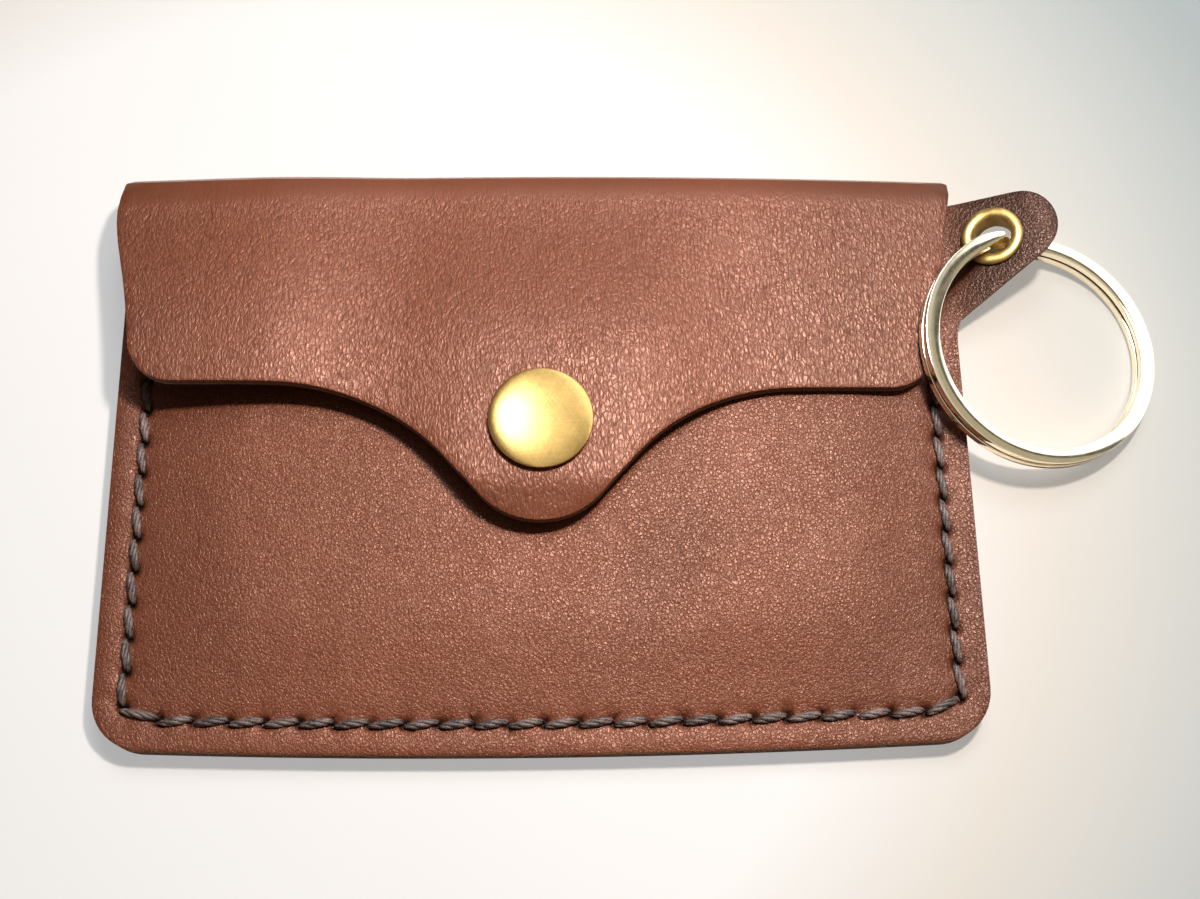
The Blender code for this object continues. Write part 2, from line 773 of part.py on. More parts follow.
def main():
    for piece in list(bpy.data.objects):
        bpy.data.objects.remove(piece, do_unlink=True)
    hide = bare_material("brown_leather", (0.19, 0.085, 0.06), 0.5, 0.0)
    waxed = bare_material("waxed_thread", (0.09, 0.065, 0.06), 0.7, 0.0)
    brass = bare_material("satin_brass", (0.72, 0.52, 0.22), 0.35, 1.0)
    steel = bare_material("pale_gold_steel", (0.80, 0.74, 0.62), 0.15, 1.0)

    hinge_y = fold_start_y(0) + hinge_set_out
    flap_hinge = add_hinge("flap_hinge", (0, hinge_y, fold_centre_z), Vector((-1, 0, 0)))
    step = way_step / (2 * pi * ring_mid_radius)
    wire_way = (ring_point(1 + step) - ring_point(1 - step)).normalized()
    ring_hinge = add_hinge("ring_hinge", ring_point(1), wire_way)
    bpy.context.view_layer.update()

    make_panels(hide)
    make_fold(hide)
    make_flap(hide, flap_hinge)
    make_threads(waxed)
    make_snap(brass, steel, flap_hinge)
    make_eyelet(brass)
    make_key_ring(steel, ring_hinge)
    print("flap hinge at y %.3f mm, z %.3f mm" % (hinge_y / MM, fold_centre_z / MM))
    print("ring hinge at", [round(c / MM, 3) for c in ring_point(1)], "along",
          [round(c, 5) for c in wire_way])


main()
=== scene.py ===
"""The looks of the leather card wallet with its key ring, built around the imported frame."""

from math import atan, cos, exp, pi, radians, sin, sqrt, tan

import bmesh
import bpy
from bpy.props import FloatProperty, FloatVectorProperty, PointerProperty
from mathutils import Matrix, Vector


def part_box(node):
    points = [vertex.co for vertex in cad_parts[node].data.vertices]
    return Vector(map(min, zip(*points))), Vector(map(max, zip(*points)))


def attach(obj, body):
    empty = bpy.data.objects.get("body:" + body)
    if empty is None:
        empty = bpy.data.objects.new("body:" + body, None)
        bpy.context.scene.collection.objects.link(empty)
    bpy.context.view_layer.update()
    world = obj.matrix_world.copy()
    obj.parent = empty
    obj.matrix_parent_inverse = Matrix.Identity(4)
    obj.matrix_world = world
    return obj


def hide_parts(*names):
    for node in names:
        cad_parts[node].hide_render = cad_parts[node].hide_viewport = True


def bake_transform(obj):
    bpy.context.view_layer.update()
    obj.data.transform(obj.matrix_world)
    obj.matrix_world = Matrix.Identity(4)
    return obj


bl_info = {
    "name": "Keychain card wallet",
    "version": (1, 0, 0),
    "blender": (4, 5, 0),
    "location": "3D View > Sidebar > Wallet",
    "description": "Builds a leather card wallet with a snap flap and a key ring",
    "category": "Object",
}

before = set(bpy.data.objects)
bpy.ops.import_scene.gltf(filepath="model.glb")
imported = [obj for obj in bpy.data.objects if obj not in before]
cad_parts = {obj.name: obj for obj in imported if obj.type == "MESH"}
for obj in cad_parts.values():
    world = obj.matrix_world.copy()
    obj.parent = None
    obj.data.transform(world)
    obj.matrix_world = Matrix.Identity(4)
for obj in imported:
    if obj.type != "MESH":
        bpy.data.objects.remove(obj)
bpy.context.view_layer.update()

MM = 0.001
BODY = "wallet"
FLAP_BODY = "flap_with_cap"
RING_BODY = "ring"


def length_setting(name, description, millimetres):
    return FloatProperty(name=name, description=description, default=millimetres * MM,
                         unit="LENGTH")


def colour_setting(name, description, default):
    return FloatVectorProperty(name=name, description=description, default=default, size=3,
                               subtype="COLOR")


def power_setting(name, description, default):
    return FloatProperty(name=name, description=description, default=default, unit="POWER")


class LeatherSettings(bpy.types.PropertyGroup):
    """Sizes and colours of the leather."""

    thickness: length_setting("Thickness", "Thickness of the hide", 1.5)
    edge_round: length_setting("Edge rounding", "How far the cut edges are rounded over", 0.3)
    hide_colour: colour_setting("Hide", "Colour of the grain side", (0.205, 0.059, 0.027))
    edge_colour: colour_setting("Cut edge", "Colour of the raw cut edges", (0.17, 0.075, 0.032))
    flesh_colour: colour_setting("Flesh side", "Colour of the rough inner side",
                                 (0.21, 0.115, 0.07))
    grain_size: length_setting("Grain", "Width of one pebble of the grain", 0.31)
    crease_size: length_setting("Creases", "Width of the larger folds in the grain", 2.2)


class ThreadSettings(bpy.types.PropertyGroup):
    """Size and colour of the sewing thread."""

    radius: length_setting("Radius", "Radius of the twisted thread", 0.55)
    twist_length: length_setting("Twist", "Length of one full twist", 5.5)
    colour: colour_setting("Colour", "Colour of the waxed thread", (0.100, 0.066, 0.058))


class MetalSettings(bpy.types.PropertyGroup):
    """Colours of the fittings and the key ring."""

    snap_colour: colour_setting("Snap", "Colour of the satin snap cap", (0.93, 0.62, 0.22))
    eyelet_colour: colour_setting("Eyelet", "Colour of the antique eyelet", (0.40, 0.26, 0.09))
    ring_colour: colour_setting("Key ring", "Colour of the polished key ring",
                                (0.92, 0.84, 0.66))


class StageSettings(bpy.types.PropertyGroup):
    """Light and floor."""

    floor_colour: colour_setting("Floor", "Colour of the paper it lies on", (0.93, 0.86, 0.82))
    key_power: power_setting("Key light", "Power of the near key light", 0.56)
    window_power: power_setting("Window", "Power of the broad soft light", 1.45)
    sheen_power: power_setting("Sheen", "Power of the small glint on the leather", 1.3)
    ceiling_power: power_setting("Ceiling lamp", "Power of the lamp that glints on the cap", 2.3)
    sky_strength: FloatProperty(name="Fill light", default=0.06,
                                description="Strength of the even light around")


# Body of the wallet, as the frame has it
half_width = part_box("back_panel")[1].x
body_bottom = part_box("back_panel")[0].y
fold_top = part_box("fold_strip")[1].y
corner_radius = 6.0 * MM
bottom_sag = 1.2 * MM
fold_bow = 1.08 * MM
fold_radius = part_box("fold_strip")[1].z / 2
front_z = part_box("front_panel")[0].z

# The fold: how soon past it the grain goes slack, and how its left end opens and bulges
fold_fade = 2.2 * MM
fold_open = 0.9 * MM
fold_splay = 1.1 * MM
fold_splay_start = 30.0 * MM
fold_splay_fade = 20.0 * MM
fold_splay_past = 4.0 * MM
fold_splay_rise = 3.0 * MM
fold_splay_reach = 9.0 * MM

# Flap
flap_tip_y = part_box("flap")[0].y
flap_side_y = 6.7 * MM
flap_left_inset = 2.3 * MM
flap_right_inset = 3.6 * MM
flap_corner_radius = 5.5 * MM
tongue_x = -0.3 * MM
tongue_radius = 10.0 * MM
shoulder_radius = 26.0 * MM
scallop_angle = radians(48)
flap_lift_left = 1.6 * MM
flap_lift_right = -0.35 * MM
flap_lift_snap = 2.45 * MM
flap_rise_length = 24.0 * MM
flap_flat_half = 8.0 * MM
flap_blend_length = 18.0 * MM
flap_curl = 2.3 * MM
flap_curl_start = 14.0 * MM
flap_curl_length = 22.0 * MM
flap_curl_rise = 14.0 * MM
tip_droop = 1.1 * MM
tip_droop_length = 5.0 * MM

# Pocket front and tab
mouth_y = 32.2 * MM
pocket_slack = 0.8 * MM
pocket_mouth_slack = 0.6 * MM
slack_run = 13.0 * MM
tab_root_y = 13.6 * MM
tab_root_fillet = 3.0 * MM
tab_tip_x = 59.6 * MM
tab_tip_y = 27.7 * MM
tab_tip_radius = 4.7 * MM
tab_slope = radians(24.75)
tab_bend_start = 49.6 * MM
tab_bend_length = 3.0 * MM
tab_level_start = 60.4 * MM
tab_level_length = 4.0 * MM

# Saddle-stitched seam
stitch_pitch = 4.0 * MM
row_holes = 23
column_holes = 16
seam_inset = 3.5 * MM
column_rise = 1.4 * MM
seam_x = half_width - seam_inset
side_step = 0.26 * MM
front_thread_z = 3.2 * MM
back_thread_z = 0.70 * MM
thread_crown = 0.22 * MM
pit_depth = 0.95 * MM
hole_run = 0.42 * MM
pit_along = 0.6 * MM
pit_across = 0.62 * MM
pucker_depth = 0.32 * MM
pucker_reach = 1.5 * MM
pucker_draw = 0.35
seam_reach = 1.9 * MM
# How deep a stitch hole is before painted shade darkens it, and over what depth the shade deepens
hole_shade_start = 0.25 * MM
hole_shade_run = 0.35 * MM
thread_step = 0.25 * MM
thread_strands = 4
strand_share = 0.52
thread_waist_share = 0.52
thread_belly_run = 1.5 * MM
# Painted shade on the thread where it dips into the holes: where it begins, and over what run
thread_shade_share = 0.72
thread_shade_run = 0.5 * MM

# Where the loaded pocket front is pushed in beside the tongue, and where it bulges
dent_x = 14.6 * MM
dent_y = -14.0 * MM
dent_turn = radians(54)
dent_long = 10.0 * MM
dent_wide = 4.6 * MM
dent_depth = 0.5 * MM
# How wide the painted shade over the dent spreads, and how dark it gets
dent_shade_spread = 1.4
dent_shade_share = 0.32
bulge_x = 27.0 * MM
bulge_y = -14.0 * MM
bulge_reach = 13.0 * MM
bulge_height = 0.55 * MM

# Snap
snap_x = -0.2 * MM
snap_y = 1.9 * MM
cap_radius = 6.25 * MM
cap_rim_height = 0.5 * MM
cap_dome_height = 1.1 * MM
cap_post_radius = 1.0 * MM
socket_plate = 0.45 * MM
socket_lip = 0.3 * MM
socket_bore = 2.4 * MM
socket_inside = 3.35 * MM
socket_hole = 1.3 * MM
socket_round = 0.07 * MM
stud_flange = 0.35 * MM
stud_neck = 1.75 * MM
stud_bulb = 2.1 * MM
stud_bulb_share = 0.62

# Eyelet
eyelet_x = 56.9 * MM
eyelet_y = 26.75 * MM
eyelet_bore_radius = 2.4 * MM
eyelet_wall = 0.3 * MM
eyelet_flange_radius = 3.9 * MM
eyelet_flange_height = 0.5 * MM
eyelet_roll_radius = 3.4 * MM
eyelet_gap = 0.2 * MM
washer_thickness = 0.3 * MM
eyelet_hole_radius = 3.2 * MM

# Key ring
ring_radius = 15.35 * MM
wire_width = 1.8 * MM
wire_thickness = 1.0 * MM
wire_bevel = 0.12 * MM
turn_gap = 0.43 * MM
ring_yaw = radians(16.7)
ring_slope_x = -0.15
ring_slope_y = 0.017
ring_slip = 0.7 * MM
ring_climb = 2.5 * MM
climb_run = 7.4 * MM
tip_length = 3.6 * MM
tip_share = 0.28
ring_steps = 180
spin_lead = 20.0 * MM

# Fineness of the meshes
leather_step = 1.6 * MM
turned_segments = 96
hole_segments = 48
corner_steps = 12
edge_steps = 24
shoulder_steps = 14
stud_steps = 10
crown_steps = 16
roll_steps = 10
cut_distance = 0.002 * MM
leather_weld = 0.001 * MM
metal_weld = 0.004 * MM
corner_angle = radians(50)

# The rings inside a cut edge: how far in they lie, and how much of the rim they count as
rim_rings = ((0.35, 0.65), (0.65, 0.0))

# Grain: how its pattern is drawn out, in units per metre in x and y, and its makeup
strap_grain = (10, 4.4)
front_grain = (11, 10)
swirl_scale = 0.5
swirl_share = 0.3
groove_share = 0.62
groove_sharpness = 7.0
line_sharpness = 12.0
fibre_scale = 2.6
taut_share = 0.9
# Painted shade over the taut fold
taut_fold_shade = (0.78, 0.76, 0.74)
# Painted shade in the grain's pits and creases
pit_shade_tint = (0.5, 0.42, 0.42)
# Painted shade at its darkest, in the stitch holes and the dent
darkest_painted_shade = 0.14
roll_height = 0.35 * MM
crease_depth = 0.03 * MM
crest_height = 0.048 * MM

# The paper, its painted pool of light, and where the mirrored room's panes begin
paper_half = 0.9
painted_pool_shift = (0.03, 0.005, 0)
painted_pool_radius = 0.2
pane_start = 0.42
pane_sharpness = 12
pane_slant = 0.233

# Camera, from the photo's perspective
camera_place = Vector((1.65, -62.84, 187.35)) * MM
camera_turn = (radians(18.8), radians(-1.321), radians(-0.911))
camera_lens = 48.18


def leather():
    return bpy.context.scene.wallet_leather


def smoothstep(value):
    value = min(max(value, 0.0), 1.0)
    return value * value * (3 - 2 * value)


def fold_start_y(x):
    """Where the flat leather ends and the fold begins."""
    return fold_top - fold_bow * (x / half_width) ** 2 - fold_radius


def bottom_y(x):
    return body_bottom + bottom_sag * (x / half_width) ** 2


def arc(centre_x, centre_y, radius, start, end, steps):
    turns = [start + (end - start) * i / steps for i in range(steps + 1)]
    return [(centre_x + radius * cos(a), centre_y + radius * sin(a)) for a in turns]


def bend(run, length):
    """The height gained by turning up to the tab's slope over a length."""
    if run <= 0:
        return 0.0
    if run < length:
        return tan(tab_slope) * run * run / (2 * length)
    return tan(tab_slope) * (run - length / 2)


def tab_lift(x):
    return bend(x - tab_bend_start, tab_bend_length) - bend(x - tab_level_start, tab_level_length)


def front_lift(x, y):
    """How far the pocket front stands off its sewn edge, slack side and tab together."""
    inward_x = smoothstep((seam_x - abs(x)) / slack_run)
    inward_y = smoothstep((y - bottom_y(x) - seam_inset) / slack_run)
    mouth = smoothstep((mouth_y - y) / slack_run)
    slack = pocket_mouth_slack + (pocket_slack - pocket_mouth_slack) * mouth
    return slack * inward_x * inward_y + tab_lift(x)


def curled(x):
    """0 over most of the flap, rising to 1 at its raised left side."""
    return smoothstep((-x - flap_curl_start) / flap_curl_length)


def flap_lift(x, y):
    """How far the flap's underside stands above the height at which it leaves the fold."""
    middle = 1 - smoothstep((abs(x - snap_x) - flap_flat_half) / flap_blend_length)
    leftness = (1 - x / half_width) / 2
    side = flap_lift_right + (flap_lift_left - flap_lift_right) * leftness
    lift = side + (flap_lift_snap - side) * middle
    droop_start = flap_tip_y + tip_droop_length
    droop = tip_droop * smoothstep((droop_start - y) / tip_droop_length)
    run = fold_start_y(x) - y
    curl = flap_curl * curled(x)
    rise = lift * smoothstep(run / flap_rise_length) + curl * smoothstep(run / flap_curl_rise)
    return rise - droop


def seam_places():
    """The stitch holes in sewing order, each with the seam's direction there."""
    places = []
    first_x = -(row_holes - 1) / 2 * stitch_pitch
    column_start = bottom_y(seam_x) + seam_inset + column_rise
    for i in reversed(range(column_holes)):
        places.append(Vector((-seam_x, column_start + i * stitch_pitch, 0)))
    for i in range(row_holes):
        x = first_x + i * stitch_pitch
        places.append(Vector((x, bottom_y(x) + seam_inset, 0)))
    for i in range(column_holes):
        places.append(Vector((seam_x, column_start + i * stitch_pitch, 0)))
    last = len(places) - 1
    ways = [
        (places[min(i + 1, last)] - places[max(i - 1, 0)]).normalized()
        for i in range(len(places))
    ]
    return list(zip(places, ways))


SEAM = seam_places()


def seam_dip(x, y):
    """How deep the leather is drawn in round the nearest stitch holes."""
    if y > SEAM[0][0].y + 2 * pucker_reach:
        return 0.0
    if abs(x) < seam_x - 3 * pucker_reach and y > bottom_y(x) + seam_inset + 3 * pucker_reach:
        return 0.0
    pit = 0.0
    pucker = 0.0
    for place, way in SEAM:
        off_x = x - place.x
        off_y = y - place.y
        if abs(off_x) > 3 * pucker_reach or abs(off_y) > 3 * pucker_reach:
            continue
        along = off_x * way.x + off_y * way.y
        across = off_x * way.y - off_y * way.x
        pit = max(pit, exp(-((along / pit_along) ** 4) - (across / pit_across) ** 4))
        spread = along * along * pucker_draw + across * across
        pucker = max(pucker, exp(-spread / pucker_reach**2))
    return pit_depth * pit + pucker_depth * pucker * (1 - pit)


def near_seam(x, y):
    """Whether a point is close enough to the stitches to need a fine mesh."""
    if y > SEAM[0][0].y + seam_reach:
        return False
    by_row = abs(y - bottom_y(x) - seam_inset) < seam_reach and abs(x) < seam_x + seam_reach
    above = y > bottom_y(x) + seam_inset - seam_reach
    return by_row or (above and abs(abs(x) - seam_x) < seam_reach)


def body_sides(top_y):
    """The outline that both panels share: bottom right to bottom left, open at top_y."""
    inner_x = half_width - corner_radius
    centre_y = bottom_y(inner_x) + corner_radius
    stations = [inner_x * (1 - 2 * i / edge_steps) for i in range(1, edge_steps)]
    points = arc(inner_x, centre_y, corner_radius, 0, -pi / 2, corner_steps)
    points += [(x, bottom_y(x)) for x in stations]
    points += arc(-inner_x, centre_y, corner_radius, -pi / 2, -pi, corner_steps)
    return [(half_width, top_y)] + points + [(-half_width, top_y)]


def tangent_point(outside, upper):
    """Where a line from a point outside touches the tab's round tip."""
    way = Vector(outside) - Vector((tab_tip_x, tab_tip_y))
    swing = sqrt(way.length_squared - tab_tip_radius**2)
    turn = atan(swing / tab_tip_radius) * (-1 if upper else 1)
    touch = Matrix.Rotation(turn, 2) @ way.normalized() * tab_tip_radius
    return Vector((tab_tip_x, tab_tip_y)) + touch


def front_outline():
    root_top = (half_width, mouth_y)
    root_low = (half_width + tab_root_fillet / 4, tab_root_y + tab_root_fillet)
    low = tangent_point(root_low, False)
    high = tangent_point(root_top, True)
    centre = Vector((tab_tip_x, tab_tip_y))
    start = Vector((1, 0)).angle_signed(low - centre)
    end = Vector((1, 0)).angle_signed(high - centre)
    tip = arc(tab_tip_x, tab_tip_y, tab_tip_radius, -start, -end, edge_steps)
    fillet = [
        (half_width + tab_root_fillet / 4 * share**2, tab_root_y + tab_root_fillet * share)
        for share in (0.0, 0.35, 0.7, 1.0)
    ]
    tab = fillet + tip + [root_top]
    return body_sides(mouth_y)[1:] + list(reversed(tab))


def side_outline(corner_x):
    """One side of the flap from its lower corner up, as if on the right."""
    centre_y = flap_side_y + flap_corner_radius
    return arc(corner_x - flap_corner_radius, centre_y, flap_corner_radius, -pi / 2, 0,
               corner_steps)


def flap_edge():
    """The flap's free edge from its left side round the tongue to its right side."""
    drop = flap_side_y - flap_tip_y
    rounded = (tongue_radius + shoulder_radius) * (1 - cos(scallop_angle))
    straight = (drop - rounded) / sin(scallop_angle)
    across = (tongue_radius + shoulder_radius) * sin(scallop_angle)
    shoulder_x = across + straight * cos(scallop_angle)
    tongue = arc(0, flap_tip_y + tongue_radius, tongue_radius, -pi / 2,
                 -pi / 2 + scallop_angle, corner_steps)
    shoulder = arc(shoulder_x, flap_side_y - shoulder_radius, shoulder_radius,
                   pi / 2 + scallop_angle, pi / 2, shoulder_steps)
    scallop = tongue + shoulder
    right = [(tongue_x + x, y) for x, y in scallop] + side_outline(half_width - flap_right_inset)
    left = [(tongue_x - x, y) for x, y in scallop[1:]]
    left += [(-x, y) for x, y in side_outline(half_width - flap_left_inset)]
    return list(reversed(left)) + right


def strap_length():
    """Length of leather in the fold, along its middle."""
    return pi * (fold_radius - leather().thickness / 2)


def strap_outline():
    """Back panel, fold and flap laid out flat: x across, and the run from the fold's start."""
    back = [(x, y - fold_start_y(x)) for x, y in body_sides(fold_start_y(half_width))]
    fold = strap_length()
    flap = [(x, fold + fold_start_y(x) - y) for x, y in flap_edge()]
    left_side = [(-half_width, 0), (-half_width, fold)]
    right_side = [(half_width, fold), (half_width, 0)]
    return back[1:-1] + left_side + flap + right_side


def strap_place(x, run, outward):
    """Where a point of the laid-out strap is once it's folded; outward is from mid-leather."""
    thickness = leather().thickness
    fold = strap_length()
    opened = fold_open * curled(x)
    middle = fold_radius - thickness / 2
    start = fold_start_y(x)
    if run <= 0:
        share = smoothstep((run + flap_curl_rise) / flap_curl_rise)
        return Vector((x, start + run - opened * share, thickness / 2 - outward))
    if run < fold:
        angle = run / middle
        reach = middle + opened + outward
        centre = start - opened
        return Vector((x + splay(x, run), centre + reach * sin(angle),
                       fold_radius + opened - reach * cos(angle)))
    share = 1 - smoothstep((run - fold) / flap_curl_rise)
    y = start - (run - fold)
    height = 2 * fold_radius - thickness / 2 + flap_lift(x, y) + outward
    return Vector((x + splay(x, run), y - opened * share, height + 2 * opened * share))


def splay(x, run):
    """How far the leather bulges out sideways at the left end of the fold."""
    half = strap_length() / 2
    past = (run - 2 * half - fold_splay_past) / fold_splay_reach
    side = smoothstep((-x - fold_splay_start) / fold_splay_fade)
    begun = smoothstep((run - half) / (half + fold_splay_rise))
    return -fold_splay * side * exp(-past * past) * begun


def dent_share(x, y, spread=1.0):
    """1 in the middle of the dent beside the tongue, fading out around it."""
    off = Vector((x - dent_x, y - dent_y)) / spread
    along = (off.x * cos(dent_turn) + off.y * sin(dent_turn)) / dent_long
    across = (off.y * cos(dent_turn) - off.x * sin(dent_turn)) / dent_wide
    return exp(-along * along - across * across)


def front_wave(x, y):
    """The dent and the bulge that use has left in the pocket front."""
    away = Vector((x - bulge_x, y - bulge_y)).length / bulge_reach
    return bulge_height * exp(-away * away) - dent_depth * dent_share(x, y)


def front_place(x, y, outward):
    thickness = leather().thickness
    height = front_z + thickness / 2 + front_lift(x, y) + front_wave(x, y)
    return Vector((x, y, height + outward))


def flat_leather(outline, hole=None):
    """A flat, finely divided sheet with two inset rings that carry its rounded edge."""
    rounding = leather().edge_round
    bm = bmesh.new()
    rim = bm.verts.layers.float.new("rim")
    face = bm.faces.new([bm.verts.new((x, y, 0)) for x, y in outline])
    for vert in bm.verts:
        vert[rim] = 1.0
    if face.normal.z < 0 or face.calc_area() == 0:
        face.normal_flip()
    for reach, value in rim_rings:
        bmesh.ops.inset_region(bm, faces=[face], thickness=rounding * reach,
                               use_boundary=True, use_even_offset=True)
        for vert in face.verts:
            vert[rim] = value
    if hole:
        cut_round_hole(bm, face, rim, *hole)
    low = Vector([min(v.co[i] for v in bm.verts) for i in range(2)])
    high = Vector([max(v.co[i] for v in bm.verts) for i in range(2)])
    for axis in range(2):
        count = int((high[axis] - low[axis]) / leather_step)
        normal = Vector([1 if i == axis else 0 for i in range(3)])
        for i in range(1, count):
            place = normal * (low[axis] + (high[axis] - low[axis]) * i / count)
            everything = bm.verts[:] + bm.edges[:] + bm.faces[:]
            bmesh.ops.bisect_plane(bm, geom=everything, dist=cut_distance, plane_co=place,
                                   plane_no=normal)
    return bm, rim


def cut_round_hole(bm, face, rim, centre_x, centre_y, radius):
    """Opens a round hole in the sheet's inner face."""
    boundary = list(face.edges)
    bmesh.ops.delete(bm, geom=[face], context="FACES_ONLY")
    ring = bmesh.ops.create_circle(bm, segments=hole_segments, radius=radius,
                                   matrix=Matrix.Translation((centre_x, centre_y, 0)))
    circle = {e for v in ring["verts"] for e in v.link_edges}
    for vert in ring["verts"]:
        vert[rim] = 0.0
    bmesh.ops.triangle_fill(bm, edges=boundary + list(circle), use_beauty=True,
                            normal=(0, 0, 1))


def refine_seam(bm, on_seam):
    """Divides the faces along the stitches finely."""
    faces = [f for f in bm.faces if on_seam(f.calc_center_median())]
    edges = list({e for f in faces for e in f.edges})
    bmesh.ops.subdivide_edges(bm, edges=edges, cuts=3, use_grid_fill=True)


def nowhere(x, y):
    return 0.0


def finish_leather(name, bm, rim, place, dip, grain_way, tension=nowhere, painted_shade_at=nowhere):
    """Gives the flat sheet its two sides and its cut edge, and bends it into place.

    Material 0 is the grain side, 1 the cut edge and 2 the flesh side. Grain_way says how the
    grain's pattern is drawn out in x and y, tension where it's pulled smooth, and the last
    argument where painted shade darkens it; the stitch holes get painted shade by their depth."""
    settings = leather()
    half = settings.thickness / 2
    rounding = settings.edge_round
    bmesh.ops.triangulate(bm, faces=[f for f in bm.faces if len(f.verts) > 4])
    uv = bm.loops.layers.uv.new("hide")
    taut = bm.verts.layers.float.new("taut")
    painted_shade = bm.verts.layers.float.new("painted_shade")
    for face in bm.faces:
        if face.normal.z < 0:
            face.normal_flip()
        face.material_index = 2
        for loop in face.loops:
            loop[uv].uv = (loop.vert.co.x * grain_way[0], loop.vert.co.y * grain_way[1])
    raised = bmesh.ops.extrude_face_region(bm, geom=bm.faces[:])["geom"]
    upper = {e for e in raised if isinstance(e, bmesh.types.BMVert)}
    for face in raised:
        if isinstance(face, bmesh.types.BMFace):
            face.material_index = 0
    for face in bm.faces:
        corners = sum(v in upper for v in face.verts)
        if 0 < corners < len(face.verts):
            face.material_index = 1
    for vert in bm.verts:
        x, y = vert.co.x, vert.co.y
        vert[taut] = tension(x, y)
        drop = rounding * (1 - sqrt(max(0.0, 1 - vert[rim] ** 2)))
        outward = half - drop
        if vert in upper:
            depth = dip(x, y)
            # Painted shade, the darker the deeper the stitch hole, and wherever the last argument
            # asks for it
            vert[painted_shade] = max(smoothstep((depth - hole_shade_start) / hole_shade_run), painted_shade_at(x, y))
            vert.co = place(x, y, outward - depth)
        else:
            vert.co = place(x, y, -outward)
    bmesh.ops.remove_doubles(bm, verts=bm.verts, dist=leather_weld)
    bmesh.ops.recalc_face_normals(bm, faces=bm.faces)
    return new_piece(name, bm, hide_material(), edge_material(), flesh_material())


def new_piece(name, bm, *materials, sharp=40):
    mesh = bpy.data.meshes.new(name)
    bm.to_mesh(mesh)
    bm.free()
    mesh.shade_smooth()
    mesh.set_sharp_from_angle(angle=radians(sharp))
    for material in materials:
        mesh.materials.append(material)
    piece = bpy.data.objects.new(name, mesh)
    bpy.context.scene.collection.objects.link(piece)
    return piece


def turned(profile, place, axis=Vector((0, 0, 1)), round_over=0.0):
    """A closed profile of (radius, height) points spun about an axis, its corners rounded."""
    bm = bmesh.new()
    verts = [bm.verts.new((r, 0, z)) for r, z in profile]
    pairs = list(zip(verts, verts[1:]))
    if profile[0][0] > 0:
        pairs.append((verts[-1], verts[0]))
    edges = [bm.edges.new(pair) for pair in pairs]
    bmesh.ops.spin(bm, geom=verts + edges, cent=(0, 0, 0), axis=(0, 0, 1), angle=2 * pi,
                   steps=turned_segments, use_merge=True)
    bmesh.ops.remove_doubles(bm, verts=bm.verts, dist=metal_weld)
    bmesh.ops.recalc_face_normals(bm, faces=bm.faces)
    if round_over:
        corners = [e for e in bm.edges if e.calc_face_angle(0) > corner_angle]
        bmesh.ops.bevel(bm, geom=corners, offset=round_over, segments=3, profile=0.5,
                        affect="EDGES", material=-1, clamp_overlap=True)
    turn = Vector((0, 0, 1)).rotation_difference(axis).to_matrix().to_4x4()
    bmesh.ops.transform(bm, matrix=Matrix.Translation(place) @ turn, verts=bm.verts)
    return bm


# Node trees


class Nodes:
    """A short way to write a node tree."""

    def __init__(self, tree):
        self.tree = tree

    def feed(self, node, inputs):
        """Links or sets a node's inputs. A colour is given without its opacity."""
        for name, source in inputs.items():
            socket = node.inputs[name]
            if isinstance(source, bpy.types.NodeSocket):
                self.tree.links.new(source, socket)
            elif socket.type == "RGBA":
                socket.default_value = (*source, 1)
            else:
                socket.default_value = source

    def add(self, kind, inputs, **settings):
        node = self.tree.nodes.new("ShaderNode" + kind)
        for key, value in settings.items():
            setattr(node, key, value)
        self.feed(node, inputs)
        return node

    def maths(self, operation, first, second=0.5, clamp=False):
        return self.add("Math", {0: first, 1: second}, operation=operation,
                        use_clamp=clamp).outputs[0]

    def plus(self, first, second, clamp=False):
        return self.maths("ADD", first, second, clamp)

    def minus(self, first, second):
        return self.maths("SUBTRACT", first, second)

    def times(self, first, second, clamp=False):
        return self.maths("MULTIPLY", first, second, clamp)

    def mapped(self, vector, scale=(1, 1, 1), turn=(0, 0, 0), place=(0, 0, 0)):
        return self.add("Mapping", {"Vector": vector, "Scale": scale, "Rotation": turn,
                                    "Location": place}).outputs["Vector"]

    def coordinates(self, kind="Object", **mapping):
        return self.mapped(self.add("TexCoord", {}).outputs[kind], **mapping)

    def split(self, vector):
        return self.add("SeparateXYZ", {"Vector": vector}).outputs

    def attribute(self, name):
        return self.add("Attribute", {}, attribute_name=name).outputs["Fac"]

    def noise(self, vector, scale, detail=3.0, roughness=0.55):
        return self.add("TexNoise", {"Vector": vector, "Scale": scale, "Detail": detail,
                                     "Roughness": roughness}).outputs["Fac"]

    def cells(self, vector, scale, feature="DISTANCE_TO_EDGE"):
        return self.add("TexVoronoi", {"Vector": vector, "Scale": scale},
                        feature=feature).outputs["Distance"]

    def ramp(self, factor, *stops):
        """A colour ramp. A stop's colour may also be one number, for a grey."""
        node = self.add("ValToRGB", {"Fac": factor})
        elements = node.color_ramp.elements
        while len(elements) < len(stops):
            elements.new(0.5)
        for element, (position, colour) in zip(elements, stops):
            element.position = position
            element.color = (*colour, 1) if isinstance(colour, tuple) else (*[colour] * 3, 1)
        return node.outputs["Color"]

    def shades(self, factor, colour, *stops):
        """A ramp through darker and lighter shades of one colour."""
        return self.ramp(factor, *[(place, shade(colour, share)) for place, share in stops])

    def mix(self, first, second, share, blend="MIX"):
        return self.add("MixRGB", {"Fac": share, "Color1": first, "Color2": second},
                        blend_type=blend).outputs["Color"]

    def tint(self, colour, by, share=1.0):
        return self.mix(colour, by, share, "MULTIPLY")

    def bump(self, height, distance, strength=1.0, **under):
        return self.add("Bump", {"Height": height, "Distance": distance,
                                 "Strength": strength, **under}).outputs["Normal"]

    def ray(self, kind):
        return self.add("LightPath", {}).outputs[kind]

    def mix_shaders(self, share, first, second):
        return self.add("MixShader", {0: share, 1: first, 2: second}).outputs[0]


